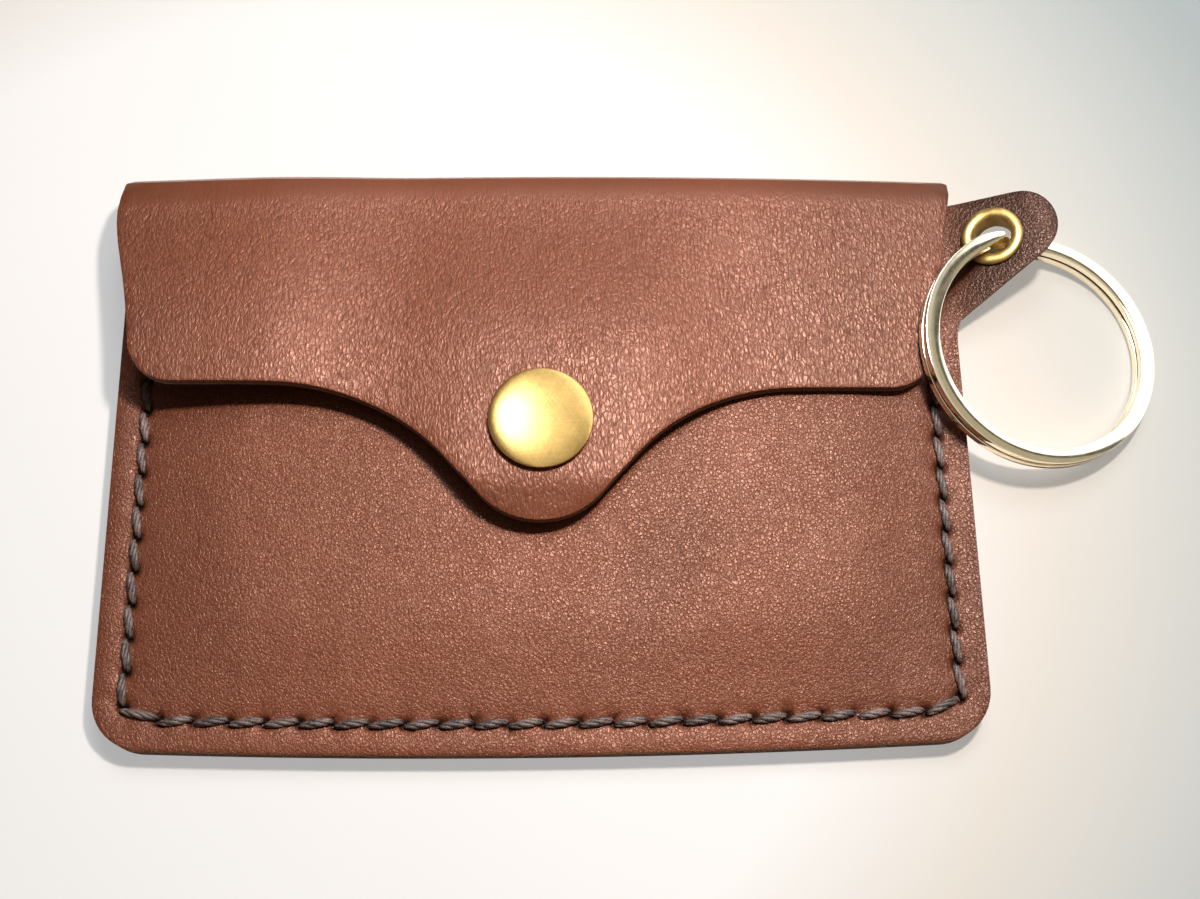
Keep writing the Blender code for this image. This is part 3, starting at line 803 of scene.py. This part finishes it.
class Finish(Nodes):
    """A new material's node tree, with the shader that its nodes feed."""

    def __init__(self, name):
        self.material = bpy.data.materials.new(name)
        self.material.use_nodes = True
        super().__init__(self.material.node_tree)
        self.shader = self.tree.nodes["Principled BSDF"]

    def done(self, **inputs):
        """Feeds the shader; an underscore in an input's name stands for a space."""
        self.feed(self.shader, {name.replace("_", " "): inputs[name] for name in inputs})
        return self.material


def shade(colour, factor):
    return tuple(min(1.0, c * factor) for c in colour)


def cached(maker):
    """Makes each material once."""
    made = {}

    def wrapper():
        if "material" not in made:
            made["material"] = maker()
        return made["material"]

    return wrapper


def grain(nodes, hide, taut):
    """The grain's crests, its pits and the lines of its larger creases.

    The pebbles are cells with grooves between them, in a pattern bent by a slow swirl, and
    are shallower in patches and where the hide is taut."""
    settings = leather()
    swirl = nodes.add("TexNoise", {"Vector": hide, "Scale": swirl_scale}).outputs["Color"]
    bent = nodes.mix(hide, swirl, swirl_share, "LINEAR_LIGHT")
    pebbles = nodes.cells(bent, MM / settings.grain_size, "F1")
    edges = nodes.cells(bent, groove_share * MM / settings.grain_size)
    grooves = nodes.minus(1.0, nodes.times(edges, groove_sharpness, clamp=True))
    folds = nodes.cells(bent, MM / settings.crease_size)
    loose = nodes.minus(1.0, nodes.times(taut, taut_share))
    patches = nodes.plus(nodes.noise(hide, 0.09, detail=4), 0.5, clamp=True)
    depth = nodes.times(patches, loose)
    fibres = nodes.noise(bent, fibre_scale, detail=2)
    crests = nodes.plus(nodes.times(pebbles, -0.9), fibres)
    crests = nodes.times(nodes.minus(crests, nodes.times(grooves, 0.5)), depth)
    lines = nodes.minus(1.0, nodes.times(folds, line_sharpness, clamp=True))
    lines = nodes.times(lines, nodes.noise(hide, 0.25, detail=3), clamp=True)
    pits = nodes.times(nodes.minus(pebbles, 0.45), 2.2, clamp=True)
    pits = nodes.maths("MAXIMUM", pits, nodes.times(grooves, 0.8))
    return crests, nodes.times(nodes.maths("MAXIMUM", pits, lines), depth), lines


def hide_tone(nodes, hide, taut, pits):
    """The hide's colour: cloudy, with painted shade towards its two ends, over the taut fold, in
    the stitch holes, in the dent and in the grain's pits, and much darker on the tab.
    """
    colour = leather().hide_colour
    across = nodes.split(nodes.coordinates(scale=(10, 10, 10)))["X"]
    # Painted shade: a little darker towards the left end and more towards the right end
    end_shade = nodes.ramp(nodes.plus(across, 0.5), (0.0, 0.84), (0.22, 1), (0.74, 1), (0.90, 0.68),
                      (1.0, 0.6))
    tab = nodes.ramp(across, (0.5, 1), (0.55, 0.16))
    # Painted shade at the ends and over the taut fold, together with the darker tab
    painted_shade_and_tab_tint = nodes.tint(nodes.tint(end_shade, tab), taut_fold_shade, taut)
    clouds = nodes.noise(hide, 0.03, detail=6, roughness=0.62)
    body = nodes.tint(nodes.shades(clouds, colour, (0.32, 0.88), (0.68, 1.12)), painted_shade_and_tab_tint)
    # Painted shade in the stitch holes and over the dent
    hole_shaded = nodes.mix(body, shade(colour, darkest_painted_shade), nodes.attribute("painted_shade"))
    # Painted shade in the grain's pits and along its creases
    return nodes.tint(hole_shaded, pit_shade_tint, pits)


@cached
def hide_material():
    """Fine pebbled grain with larger creases, glossy crests and hollows darkened with painted
    shade.

    Its UV map counts tenths of a metre. The attribute taut is 1 where the leather is
    stretched smooth over the fold, and a second attribute says how much painted shade darkens
    the stitch holes and the dent."""
    nodes = Finish("grained_hide")
    hide = nodes.coordinates("UV", scale=(100, 100, 1))
    taut = nodes.attribute("taut")
    crests, pits, lines = grain(nodes, hide, taut)
    rolling = nodes.bump(nodes.noise(hide, 0.16, detail=2), roll_height, 0.4)
    creased = nodes.bump(lines, -crease_depth, 0.5, Normal=rolling)
    return nodes.done(
        Base_Color=hide_tone(nodes, hide, taut, pits),
        Roughness=nodes.plus(nodes.times(pits, 0.25), 0.34),
        Normal=nodes.bump(crests, crest_height, Normal=creased),
        Specular_IOR_Level=0.3,
        Specular_Tint=(1.0, 0.58, 0.44),
    )


@cached
def edge_material():
    """Raw cut edge: fibres in layers, a little lighter than the grain side."""
    nodes = Finish("cut_edge")
    colour = leather().edge_colour
    fibres = nodes.noise(nodes.coordinates(scale=(900, 900, 5200)), 1.0, detail=4)
    return nodes.done(
        Base_Color=nodes.shades(fibres, colour, (0.3, 0.55), (0.7, 1.35)),
        Normal=nodes.bump(fibres, 0.08 * MM, 0.7), Roughness=0.8, Specular_IOR_Level=0.25,
    )


@cached
def flesh_material():
    """The rough nap of the leather's inner side."""
    nodes = Finish("flesh_side")
    colour = leather().flesh_colour
    hide = nodes.coordinates("UV", scale=(100, 100, 1))
    nap = nodes.noise(hide, 3.2, detail=6, roughness=0.7)
    cloud = nodes.noise(hide, 0.12, detail=4)
    mixed = nodes.plus(nodes.times(nap, 0.6), nodes.times(cloud, 0.4))
    return nodes.done(
        Base_Color=nodes.shades(mixed, colour, (0.35, 0.7), (0.65, 1.25)),
        Normal=nodes.bump(nap, 0.12 * MM, 0.6), Roughness=0.92, Specular_IOR_Level=0.15,
        Sheen_Weight=0.15,
    )


@cached
def thread_material():
    """Waxed linen thread with fine fibres, with painted shade where it goes down into the
    leather.
    """
    nodes = Finish("waxed_thread")
    colour = bpy.context.scene.wallet_thread.colour
    fibres = nodes.noise(nodes.coordinates(), 4200, detail=4, roughness=0.65)
    patches = nodes.noise(nodes.coordinates(), 700, detail=2)
    tone = nodes.shades(nodes.times(fibres, patches), colour, (0.14, 0.3), (0.40, 2.6))
    middle = (front_thread_z + back_thread_z) / 2
    reach = (front_thread_z - back_thread_z) / 2
    height = nodes.split(nodes.coordinates())["Z"]
    away = nodes.maths("ABSOLUTE", nodes.minus(height, middle))
    # Painted shade: the part at the leather's middle height, in the holes, is darkened
    seen = nodes.times(nodes.minus(away, reach * thread_shade_share), 1 / thread_shade_run,
                       clamp=True)
    return nodes.done(
        Base_Color=nodes.mix(shade(colour, 0.12), tone, seen),
        Normal=nodes.bump(fibres, 0.06 * MM, 0.8), Roughness=0.5, Specular_IOR_Level=0.25,
    )


@cached
def snap_material():
    """Satin brass with fine strokes in three directions and a cloudy patina."""
    nodes = Finish("satin_snap")
    colour = bpy.context.scene.wallet_metal.snap_colour
    stroke_turns = (0.4, 1.5, 2.5)
    brushed = 0.0
    for turn in stroke_turns:
        stretched = nodes.mapped(nodes.coordinates(turn=(0, 0, turn)), scale=(5200, 380, 380))
        strokes = nodes.noise(stretched, 1.0, roughness=0.7)
        brushed = nodes.plus(nodes.times(strokes, 1 / len(stroke_turns)), brushed)
    cloud = nodes.noise(nodes.coordinates(), 190, detail=5)
    mixed = nodes.plus(nodes.times(brushed, 0.55), nodes.times(cloud, 0.45))
    return nodes.done(
        Base_Color=nodes.shades(mixed, colour, (0.38, 0.72), (0.6, 1.1)),
        Roughness=nodes.plus(nodes.times(mixed, 0.22), 0.24),
        Normal=nodes.bump(brushed, 0.03 * MM, 0.8), Metallic=1.0,
    )


@cached
def eyelet_material():
    """Antique brass, darker where it's less handled."""
    nodes = Finish("antique_eyelet")
    colour = bpy.context.scene.wallet_metal.eyelet_colour
    cloud = nodes.noise(nodes.coordinates(), 420, detail=5, roughness=0.65)
    return nodes.done(
        Base_Color=nodes.shades(cloud, colour, (0.32, 0.6), (0.66, 1.2)),
        Roughness=nodes.plus(nodes.times(cloud, 0.25), 0.3),
        Normal=nodes.bump(cloud, 0.02 * MM, 0.5), Metallic=1.0,
    )


@cached
def ring_material():
    """Polished plating with fine marks from use."""
    nodes = Finish("polished_ring")
    colour = bpy.context.scene.wallet_metal.ring_colour
    wear = nodes.noise(nodes.coordinates(), 700, detail=6, roughness=0.7)
    return nodes.done(
        Base_Color=nodes.shades(wear, colour, (0.3, 0.93), (0.7, 1.04)),
        Roughness=nodes.plus(nodes.times(wear, 0.1), 0.03),
        Normal=nodes.bump(wear, 0.006 * MM, 0.3), Metallic=1.0,
    )


@cached
def spring_material():
    """Bare spring wire with faint streaks."""
    nodes = Finish("spring_wire")
    streaks = nodes.noise(nodes.coordinates(), 1500)
    tone = nodes.ramp(streaks, (0.3, 0.42), (0.7, (0.62, 0.62, 0.61)))
    return nodes.done(Base_Color=tone, Metallic=1.0, Roughness=0.3)


# The key ring's path


def eyelet_centre():
    thickness = leather().thickness
    return Vector((eyelet_x, eyelet_y, front_z + thickness / 2 + tab_lift(eyelet_x)))


def tab_normal():
    return Vector((-sin(tab_slope), 0, cos(tab_slope)))


def ring_mid_radius():
    return ring_radius - wire_width / 2


def ring_axes():
    """The ring's centre, its direction to the eyelet, across that, and its normal."""
    inward = Vector((sin(ring_yaw), -cos(ring_yaw), 0))
    across = Vector((cos(ring_yaw), sin(ring_yaw), 0))
    for way in (inward, across):
        way.z = way.x * ring_slope_x + way.y * ring_slope_y
    inward.normalize()
    across = (across - inward * across.dot(inward)).normalized()
    centre = eyelet_centre() + inward * (ring_mid_radius() + ring_slip)
    return centre, -inward, across, across.cross(-inward).normalized()


def ring_height(turn):
    """The wire's height over the ring's middle plane, turn in whole turns from the tip."""
    step = wire_thickness + turn_gap
    spread = ring_climb + step
    upper = step / 2 + spread * (0.5 - turn)
    lower = -step / 2 + spread * (1.5 - turn)
    share = smoothstep((turn - 1) / (climb_run / (2 * pi * ring_mid_radius())) + 0.5)
    return upper + (lower - upper) * share


class WALLET_OT_strap(bpy.types.Operator):
    """Back panel, fold and flap as one strap of leather"""

    bl_idname = "wallet.strap"
    bl_label = "Leather strap"

    def execute(self, context):
        bm, rim = flat_leather(strap_outline())

        def on_seam(centre):
            return centre.y < 0 and near_seam(centre.x, fold_start_y(centre.x) + centre.y)

        def dip(x, run):
            return seam_dip(x, fold_start_y(x) + run) if run < 0 else 0.0

        def tension(x, run):
            fold = strap_length()
            return smoothstep(run / fold) * smoothstep((fold + fold_fade - run) / fold_fade)

        refine_seam(bm, on_seam)
        strap = finish_leather("leather_strap", bm, rim, strap_place, dip, strap_grain, tension)
        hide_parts("back_panel", "fold_strip", "flap")
        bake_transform(strap)
        return {"FINISHED"}


class WALLET_OT_front(bpy.types.Operator):
    """Pocket front with its drawn-out key tab"""

    bl_idname = "wallet.front"
    bl_label = "Pocket front"

    def execute(self, context):
        hole = (eyelet_x, eyelet_y, eyelet_hole_radius)
        bm, rim = flat_leather(front_outline(), hole)
        refine_seam(bm, lambda centre: near_seam(centre.x, centre.y))
        # The dent beside the tongue gets painted shade
        front = finish_leather("pocket_front", bm, rim, front_place, seam_dip, front_grain,
                               painted_shade_at=lambda x, y: dent_shade_share * dent_share(x, y, dent_shade_spread))
        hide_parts("front_panel")
        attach(front, BODY)
        return {"FINISHED"}


class WALLET_OT_stitches(bpy.types.Operator):
    """The two twisted threads of the saddle stitch"""

    bl_idname = "wallet.stitches"
    bl_label = "Saddle stitches"

    def execute(self, context):
        for name, node, parity in (
            ("saddle_thread_a", "seam_thread_a", 0),
            ("saddle_thread_b", "seam_thread_b", 1),
        ):
            thread = self.twist(name, self.route(parity), context.scene.wallet_thread)
            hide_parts(node)
            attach(thread, BODY)
        return {"FINISHED"}

    def route(self, parity):
        """The thread's middle line, sampled evenly and rounded where it turns."""
        corners = []
        crown = Vector((0, 0, thread_crown))
        for i, (place, way) in enumerate(SEAM):
            side = Vector((-way.y, way.x, 0)) * side_step
            goes_up = (i + parity) % 2 == 0
            spot = place + (-side if goes_up else side)
            low = spot + Vector((0, 0, back_thread_z))
            high = spot + Vector((0, 0, front_thread_z))
            end_shade = (low, high) if goes_up else (high, low)
            end_shade = (end_shade[0] - way * hole_run, end_shade[1] + way * hole_run)
            if corners:
                rise = crown if goes_up else -crown
                corners.append((corners[-1] + end_shade[0]) / 2 - rise)
            corners += end_shade
        points = []
        for first, second in zip(corners, corners[1:]):
            count = max(2, round((second - first).length / thread_step))
            points += [first.lerp(second, i / count) for i in range(count)]
        points.append(corners[-1])
        for _ in range(2):
            inner = [(a + b * 2 + c) / 4 for a, b, c in zip(points, points[1:], points[2:])]
            points = [points[0]] + inner + [points[-1]]
        return points

    def width(self, place):
        """How full the thread is: squeezed in the holes and swollen between them."""
        away = min((Vector((place.x, place.y, 0)) - spot).length for spot, way in SEAM)
        swell = smoothstep(away / thread_belly_run)
        return thread_waist_share + (1 - thread_waist_share) * swell

    def twist(self, name, route, settings):
        """Strands wound round the route."""
        curve = bpy.data.curves.new(name, "CURVE")
        curve.dimensions = "3D"
        strand_radius = settings.radius * strand_share
        curve.bevel_depth = strand_radius
        curve.bevel_resolution = 1
        curve.use_fill_caps = True
        curve.materials.append(thread_material())
        for strand in range(thread_strands):
            spline = curve.splines.new("POLY")
            spline.points.add(len(route) - 1)
            travelled = 0.0
            side = Vector((1, 0, 0))
            for i, place in enumerate(route):
                way = (route[min(i + 1, len(route) - 1)] - route[max(i - 1, 0)]).normalized()
                side = (side - way * side.dot(way)).normalized()
                up = way.cross(side)
                if i:
                    travelled += (place - route[i - 1]).length
                turn = 2 * pi * (travelled / settings.twist_length + strand / thread_strands)
                width = self.width(place)
                reach = (settings.radius - strand_radius) * width
                spot = place + (side * cos(turn) + up * sin(turn)) * reach
                spline.points[i].co = (*spot, 1)
                spline.points[i].radius = width
        thread = bpy.data.objects.new(name, curve)
        bpy.context.scene.collection.objects.link(thread)
        return thread


class WALLET_OT_snap(bpy.types.Operator):
    """Snap cap, socket and stud"""

    bl_idname = "wallet.snap"
    bl_label = "Snap fastener"

    def execute(self, context):
        centre = Vector((snap_x, snap_y, 0))
        self.make_cap(centre)
        self.make_socket(centre)
        self.make_stud(centre)
        dress("stud_post", snap_material())
        dress("socket_spring", spring_material())
        return {"FINISHED"}

    def make_cap(self, centre):
        low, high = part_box("snap_cap")
        seat = high.z - cap_dome_height - cap_rim_height
        rim = seat + cap_rim_height
        shares = [1 - i / edge_steps for i in range(1, edge_steps)]
        dome = [(cap_radius * sin(pi / 2 * s), rim + cap_dome_height * cos(pi / 2 * s))
                for s in shares]
        profile = [(0, low.z), (cap_post_radius, low.z), (cap_post_radius, seat),
                   (cap_radius * 0.95, seat), (cap_radius * 0.99, seat + cap_rim_height * 0.3),
                   (cap_radius, rim)] + dome + [(0, high.z)]
        cap = new_piece("brushed_cap", turned(profile, centre), snap_material())
        spare_glare(cap)
        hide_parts("snap_cap")
        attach(cap, FLAP_BODY)

    def make_socket(self, centre):
        low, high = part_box("snap_socket")
        outer = (high.x - low.x) / 2
        plate_z = high.z - socket_plate
        lip_z = low.z + socket_lip
        profile = [(socket_hole, high.z), (outer * 0.94, high.z),
                   (outer, high.z - socket_plate / 2), (outer, lip_z), (outer * 0.92, low.z),
                   (socket_bore + socket_lip, low.z), (socket_bore, low.z + socket_lip / 2),
                   (socket_bore, lip_z), (socket_inside, lip_z), (socket_inside, plate_z),
                   (socket_hole, plate_z)]
        bm = turned(profile, centre, round_over=socket_round)
        socket = new_piece("brass_socket", bm, snap_material())
        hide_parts("snap_socket")
        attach(socket, FLAP_BODY)

    def make_stud(self, centre):
        low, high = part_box("snap_stud")
        outer = (high.x - low.x) / 2
        neck_z = low.z + stud_flange
        bulb_z = neck_z + (high.z - neck_z) * stud_bulb_share
        rise = high.z - bulb_z
        head = [(stud_bulb * cos(a), bulb_z + rise * sin(a))
                for a in [pi / 2 * i / stud_steps for i in range(stud_steps)]]
        profile = [(0, low.z), (outer * 0.97, low.z), (outer, low.z + stud_flange / 2),
                   (outer * 0.97, neck_z), (stud_neck + stud_flange, neck_z),
                   (stud_neck, neck_z + stud_flange / 2)]
        profile += head + [(0, high.z)]
        stud = new_piece("brass_stud", turned(profile, centre), snap_material())
        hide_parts("snap_stud")
        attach(stud, BODY)


class WALLET_OT_eyelet(bpy.types.Operator):
    """Eyelet that lines the tab's hole"""

    bl_idname = "wallet.eyelet"
    bl_label = "Eyelet"

    def execute(self, context):
        thickness = context.scene.wallet_leather.thickness
        seat = thickness / 2 + eyelet_gap
        bore = eyelet_bore_radius
        wall = bore + eyelet_wall
        flange = eyelet_flange_radius
        middle = (bore + flange) / 2
        half = (flange - bore) / 2
        crown = [(middle - half * cos(a), seat + eyelet_flange_height * sin(a))
                 for a in [pi * i / crown_steps for i in range(crown_steps + 1)]]
        low_seat = -(seat + washer_thickness + eyelet_gap)
        roll_middle = (bore + eyelet_roll_radius) / 2
        roll_half = (eyelet_roll_radius - bore) / 2
        roll = [(roll_middle + roll_half * cos(a), low_seat - eyelet_wall * sin(a))
                for a in [pi * i / roll_steps for i in range(roll_steps + 1)]]
        profile = crown + [(wall, seat), (wall, low_seat)] + roll
        bm = turned(profile, eyelet_centre(), tab_normal())
        eyelet = new_piece("rolled_eyelet", bm, eyelet_material())
        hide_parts("tab_eyelet")
        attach(eyelet, BODY)
        dress("eyelet_washer", eyelet_material())
        return {"FINISHED"}


class WALLET_OT_ring(bpy.types.Operator):
    """Split key ring of flat wire in two turns"""

    bl_idname = "wallet.ring"
    bl_label = "Key ring"

    def execute(self, context):
        bm = bmesh.new()
        profile = bmesh.ops.create_grid(bm, x_segments=1, y_segments=1, size=0.5)["verts"]
        bmesh.ops.scale(bm, vec=(wire_width, wire_thickness, 1), verts=profile)
        bmesh.ops.bevel(bm, geom=profile, offset=wire_bevel, segments=4, profile=0.5,
                        affect="VERTICES", material=-1)
        upright = Matrix.Rotation(pi / 2, 4, "X")
        bmesh.ops.transform(bm, matrix=upright, verts=bm.verts)
        bmesh.ops.translate(bm, vec=(ring_mid_radius(), 0, 0), verts=bm.verts)
        bmesh.ops.spin(bm, geom=bm.faces[:], cent=(0, 0, 0), axis=(0, 0, 1),
                       dvec=(0, 0, spin_lead / ring_steps), angle=4 * pi,
                       steps=2 * ring_steps, use_merge=False)
        self.lay_turns(bm)
        bmesh.ops.recalc_face_normals(bm, faces=bm.faces)
        ring = new_piece("split_ring", bm, ring_material(), sharp=50)
        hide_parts("key_ring")
        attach(ring, RING_BODY)
        return {"FINISHED"}

    def lay_turns(self, bm):
        """Moves each section of the long helix to its height in the closed ring."""
        centre, outward, across, normal = ring_axes()
        middle = ring_mid_radius()
        length = 2 * pi * middle
        small = 0.001
        for vert in bm.verts:
            angle = Vector((vert.co.x, vert.co.y)).angle_signed(Vector((1, 0))) / (2 * pi) % 1
            turn = angle + round(vert.co.z / spin_lead - angle)
            radial = Vector((vert.co.x, vert.co.y)).length - middle
            rise = vert.co.z - turn * spin_lead
            slope = (ring_height(turn + small) - ring_height(turn - small)) / (2 * small * length)
            from_end = min(turn, 2 - turn) * length
            share = sqrt(min(max(from_end, 0) / tip_length, 1))
            reach = middle + radial * (tip_share + (1 - tip_share) * share)
            turned_by = 2 * pi * turn
            flat = outward * cos(turned_by) - across * sin(turned_by)
            height = ring_height(turn) + rise * sqrt(1 + slope * slope)
            vert.co = centre + flat * reach + normal * height


class WALLET_OT_stage(bpy.types.Operator):
    """Paper floor, lamps, the room around them and the camera"""

    bl_idname = "wallet.stage"
    bl_label = "Stage"

    def execute(self, context):
        settings = context.scene.wallet_stage
        self.make_floor(settings)
        self.make_lights(settings)
        self.make_room(settings)
        self.make_camera(context)
        context.scene.view_settings.view_transform = "Standard"
        return {"FINISHED"}

    def make_floor(self, settings):
        """Paper with a painted pool of light, darker away from a point a little left of the
        wallet's middle; for the camera it is partly a glow of its own, painted light that also
        pales its shadows.
        """
        bm = bmesh.new()
        bmesh.ops.create_grid(bm, x_segments=8, y_segments=8, size=paper_half)
        nodes = Finish("paper")
        cloud = nodes.noise(nodes.coordinates(), 6.0)
        tone = nodes.shades(cloud, settings.floor_colour, (0.3, 0.97), (0.7, 1.03))
        off_middle = nodes.coordinates(place=painted_pool_shift)
        distance = nodes.add("VectorMath", {0: off_middle}, operation="LENGTH")
        reach = nodes.times(distance.outputs["Value"], 1 / painted_pool_radius)
        # A painted pool of light, in the paper's colour and in its glow
        near = (0.34, 1), (0.45, (0.84, 0.8, 0.74))
        painted_pool = nodes.ramp(reach, *near, (0.55, (0.65, 0.67, 0.65)), (0.68, (0.38, 0.44, 0.45)))
        painted_glow = nodes.ramp(reach, *near, (0.55, (0.69, 0.71, 0.70)), (0.68, (0.56, 0.62, 0.63)),
                          (1.0, (0.64, 0.68, 0.69)))
        nodes.done(Base_Color=nodes.tint(tone, painted_pool), Roughness=0.9, Specular_IOR_Level=0.1)
        glow = nodes.add("Emission", {"Color": painted_glow, "Strength": 0.9}).outputs["Emission"]
        far = nodes.times(nodes.minus(reach, 0.62), 2.6, clamp=True)
        share = nodes.times(nodes.ray("Is Camera Ray"), nodes.plus(nodes.times(far, 0.5), 0.45))
        paper = nodes.mix_shaders(share, nodes.shader.outputs["BSDF"], glow)
        nodes.feed(nodes.tree.nodes["Material Output"], {"Surface": paper})
        new_piece("paper_floor", bm, nodes.material)

    def make_lights(self, settings):
        """Each lamp has its place, the point that it's aimed at, its size, power and colour."""
        self.add_light("near_key", (0.063, 0.055, 0.21), (-0.02, -0.01, 0), (0.022, 0.022),
                       settings.key_power, (1.0, 0.965, 0.90))
        self.add_light("soft_window", (0.035, 0.34, 0.50), (0, 0.02, 0), (0.25, 0.24),
                       settings.window_power, (0.84, 0.92, 1.0))
        sheen = self.add_light("window_sheen", (0.037, 0.072, 0.21), (0, 0, 0), (0.05, 0.05),
                               settings.sheen_power, (0.92, 0.95, 1.0))
        sheen.visible_diffuse = False
        self.add_light("ceiling_lamp", (-0.185, 0.21, 0.60), (0, 0, 0), (0.15, 0.15),
                       settings.ceiling_power, (1.0, 0.98, 0.95))

    def make_room(self, settings):
        """An even dim fill, and the pale room with its darker parts that the metal mirrors.

        Its walls and panes are laid out by how far a reflected ray leans in x and in y."""
        world = bpy.context.scene.world or bpy.data.worlds.new("soft_room")
        bpy.context.scene.world = world
        world.use_nodes = True
        room = Nodes(world.node_tree)
        cream = (0.86, 0.82, 0.74)
        black = (0.04, 0.04, 0.035)
        ways = room.split(room.add("TexCoord", {}).outputs["Generated"])
        lean_x, lean_y = (room.maths("DIVIDE", ways[axis], ways["Z"]) for axis in "XY")
        wall = room.ramp(room.times(room.plus(lean_x, 1.0), 0.5, clamp=True),
                         (0.1, (0.12, 0.11, 0.10)), (0.34, cream), (0.5, cream),
                         (0.66, (0.6, 0.57, 0.52)))
        slant = room.plus(lean_y, room.times(lean_x, pane_slant), clamp=True)
        panes = room.ramp(slant, (0.475, (0.24, 0.215, 0.165)), (0.495, black), (0.572, black),
                          (0.595, (1.0, 1.0, 0.98)))
        sideways = room.times(room.minus(lean_x, pane_start), pane_sharpness, clamp=True)
        mirrored = room.add("Background", {
            "Color": room.mix(wall, panes, sideways),
            "Strength": room.plus(room.times(sideways, 0.9), 1.0),
        })
        fill = room.tree.nodes["Background"]
        room.feed(fill, {"Color": (0.95, 0.97, 1.0), "Strength": settings.sky_strength})
        backdrop = room.add("Background", {"Color": (0.66, 0.70, 0.71)})
        lit = room.mix_shaders(room.ray("Is Glossy Ray"), fill.outputs[0], mirrored.outputs[0])
        seen = room.mix_shaders(room.ray("Is Camera Ray"), lit, backdrop.outputs[0])
        room.feed(room.tree.nodes["World Output"], {"Surface": seen})

    def add_light(self, name, place, target, size, power, colour):
        lamp = bpy.data.lights.new(name, "AREA")
        lamp.shape = "RECTANGLE" if name == "soft_window" else "ELLIPSE"
        lamp.size, lamp.size_y = size
        lamp.energy = power
        lamp.color = colour
        holder = bpy.data.objects.new(name, lamp)
        holder.location = place
        aim = Vector(target) - Vector(place)
        holder.rotation_mode = "QUATERNION"
        holder.rotation_quaternion = Vector((0, 0, -1)).rotation_difference(aim)
        bpy.context.scene.collection.objects.link(holder)
        return holder

    def make_camera(self, context):
        camera = bpy.data.cameras.new("photo_camera")
        camera.lens = camera_lens
        camera.sensor_width = 36
        camera.clip_start = 0.001
        holder = bpy.data.objects.new("photo_camera", camera)
        holder.location = camera_place
        holder.rotation_euler = camera_turn
        context.scene.collection.objects.link(holder)
        context.scene.camera = holder


def spare_glare(piece):
    """Keeps the other lamps' glare off a piece, and the ceiling lamp off all other pieces."""
    spared = bpy.data.collections.new("out_of_glare")
    glinting = bpy.data.collections.new("in_glint")
    for group, state in ((spared, "EXCLUDE"), (glinting, "INCLUDE")):
        group.objects.link(piece)
        group.collection_objects[0].light_linking.link_state = state
    for name, group in (
        ("near_key", spared), ("soft_window", spared), ("window_sheen", spared),
        ("ceiling_lamp", glinting)
    ):
        lamp = bpy.data.objects.get(name)
        if lamp:
            lamp.light_linking.receiver_collection = group


def dress(node, material):
    """Gives a carried-over node of the frame its finish."""
    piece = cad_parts[node]
    if not piece.material_slots:
        piece.data.materials.append(material)
    for slot in piece.material_slots:
        slot.material = material


class WALLET_PT_panel(bpy.types.Panel):
    """Lists the wallet's pieces and their settings"""

    bl_label = "Card wallet"
    bl_idname = "WALLET_PT_panel"
    bl_space_type = "VIEW_3D"
    bl_region_type = "UI"
    bl_category = "Wallet"

    def draw(self, context):
        scene = context.scene
        for settings in (
            scene.wallet_leather, scene.wallet_thread, scene.wallet_metal, scene.wallet_stage
        ):
            box = self.layout.box()
            for name in settings.__annotations__:
                box.prop(settings, name)
        for operator in OPERATORS:
            self.layout.operator(operator.bl_idname)


OPERATORS = (
    WALLET_OT_stage,
    WALLET_OT_strap,
    WALLET_OT_front,
    WALLET_OT_stitches,
    WALLET_OT_snap,
    WALLET_OT_eyelet,
    WALLET_OT_ring,
)
GROUPS = {
    "wallet_leather": LeatherSettings,
    "wallet_thread": ThreadSettings,
    "wallet_metal": MetalSettings,
    "wallet_stage": StageSettings,
}
CLASSES = (*GROUPS.values(), *OPERATORS, WALLET_PT_panel)


def register():
    for item in CLASSES:
        bpy.utils.register_class(item)
    for name, group in GROUPS.items():
        setattr(bpy.types.Scene, name, PointerProperty(type=group))


def unregister():
    for name in GROUPS:
        delattr(bpy.types.Scene, name)
    for item in reversed(CLASSES):
        bpy.utils.unregister_class(item)


def main():
    register()
    bpy.ops.wallet.stage()
    bpy.ops.wallet.strap()
    bpy.ops.wallet.front()
    bpy.ops.wallet.stitches()
    bpy.ops.wallet.snap()
    bpy.ops.wallet.eyelet()
    bpy.ops.wallet.ring()


if __name__ == "__main__":
    main()
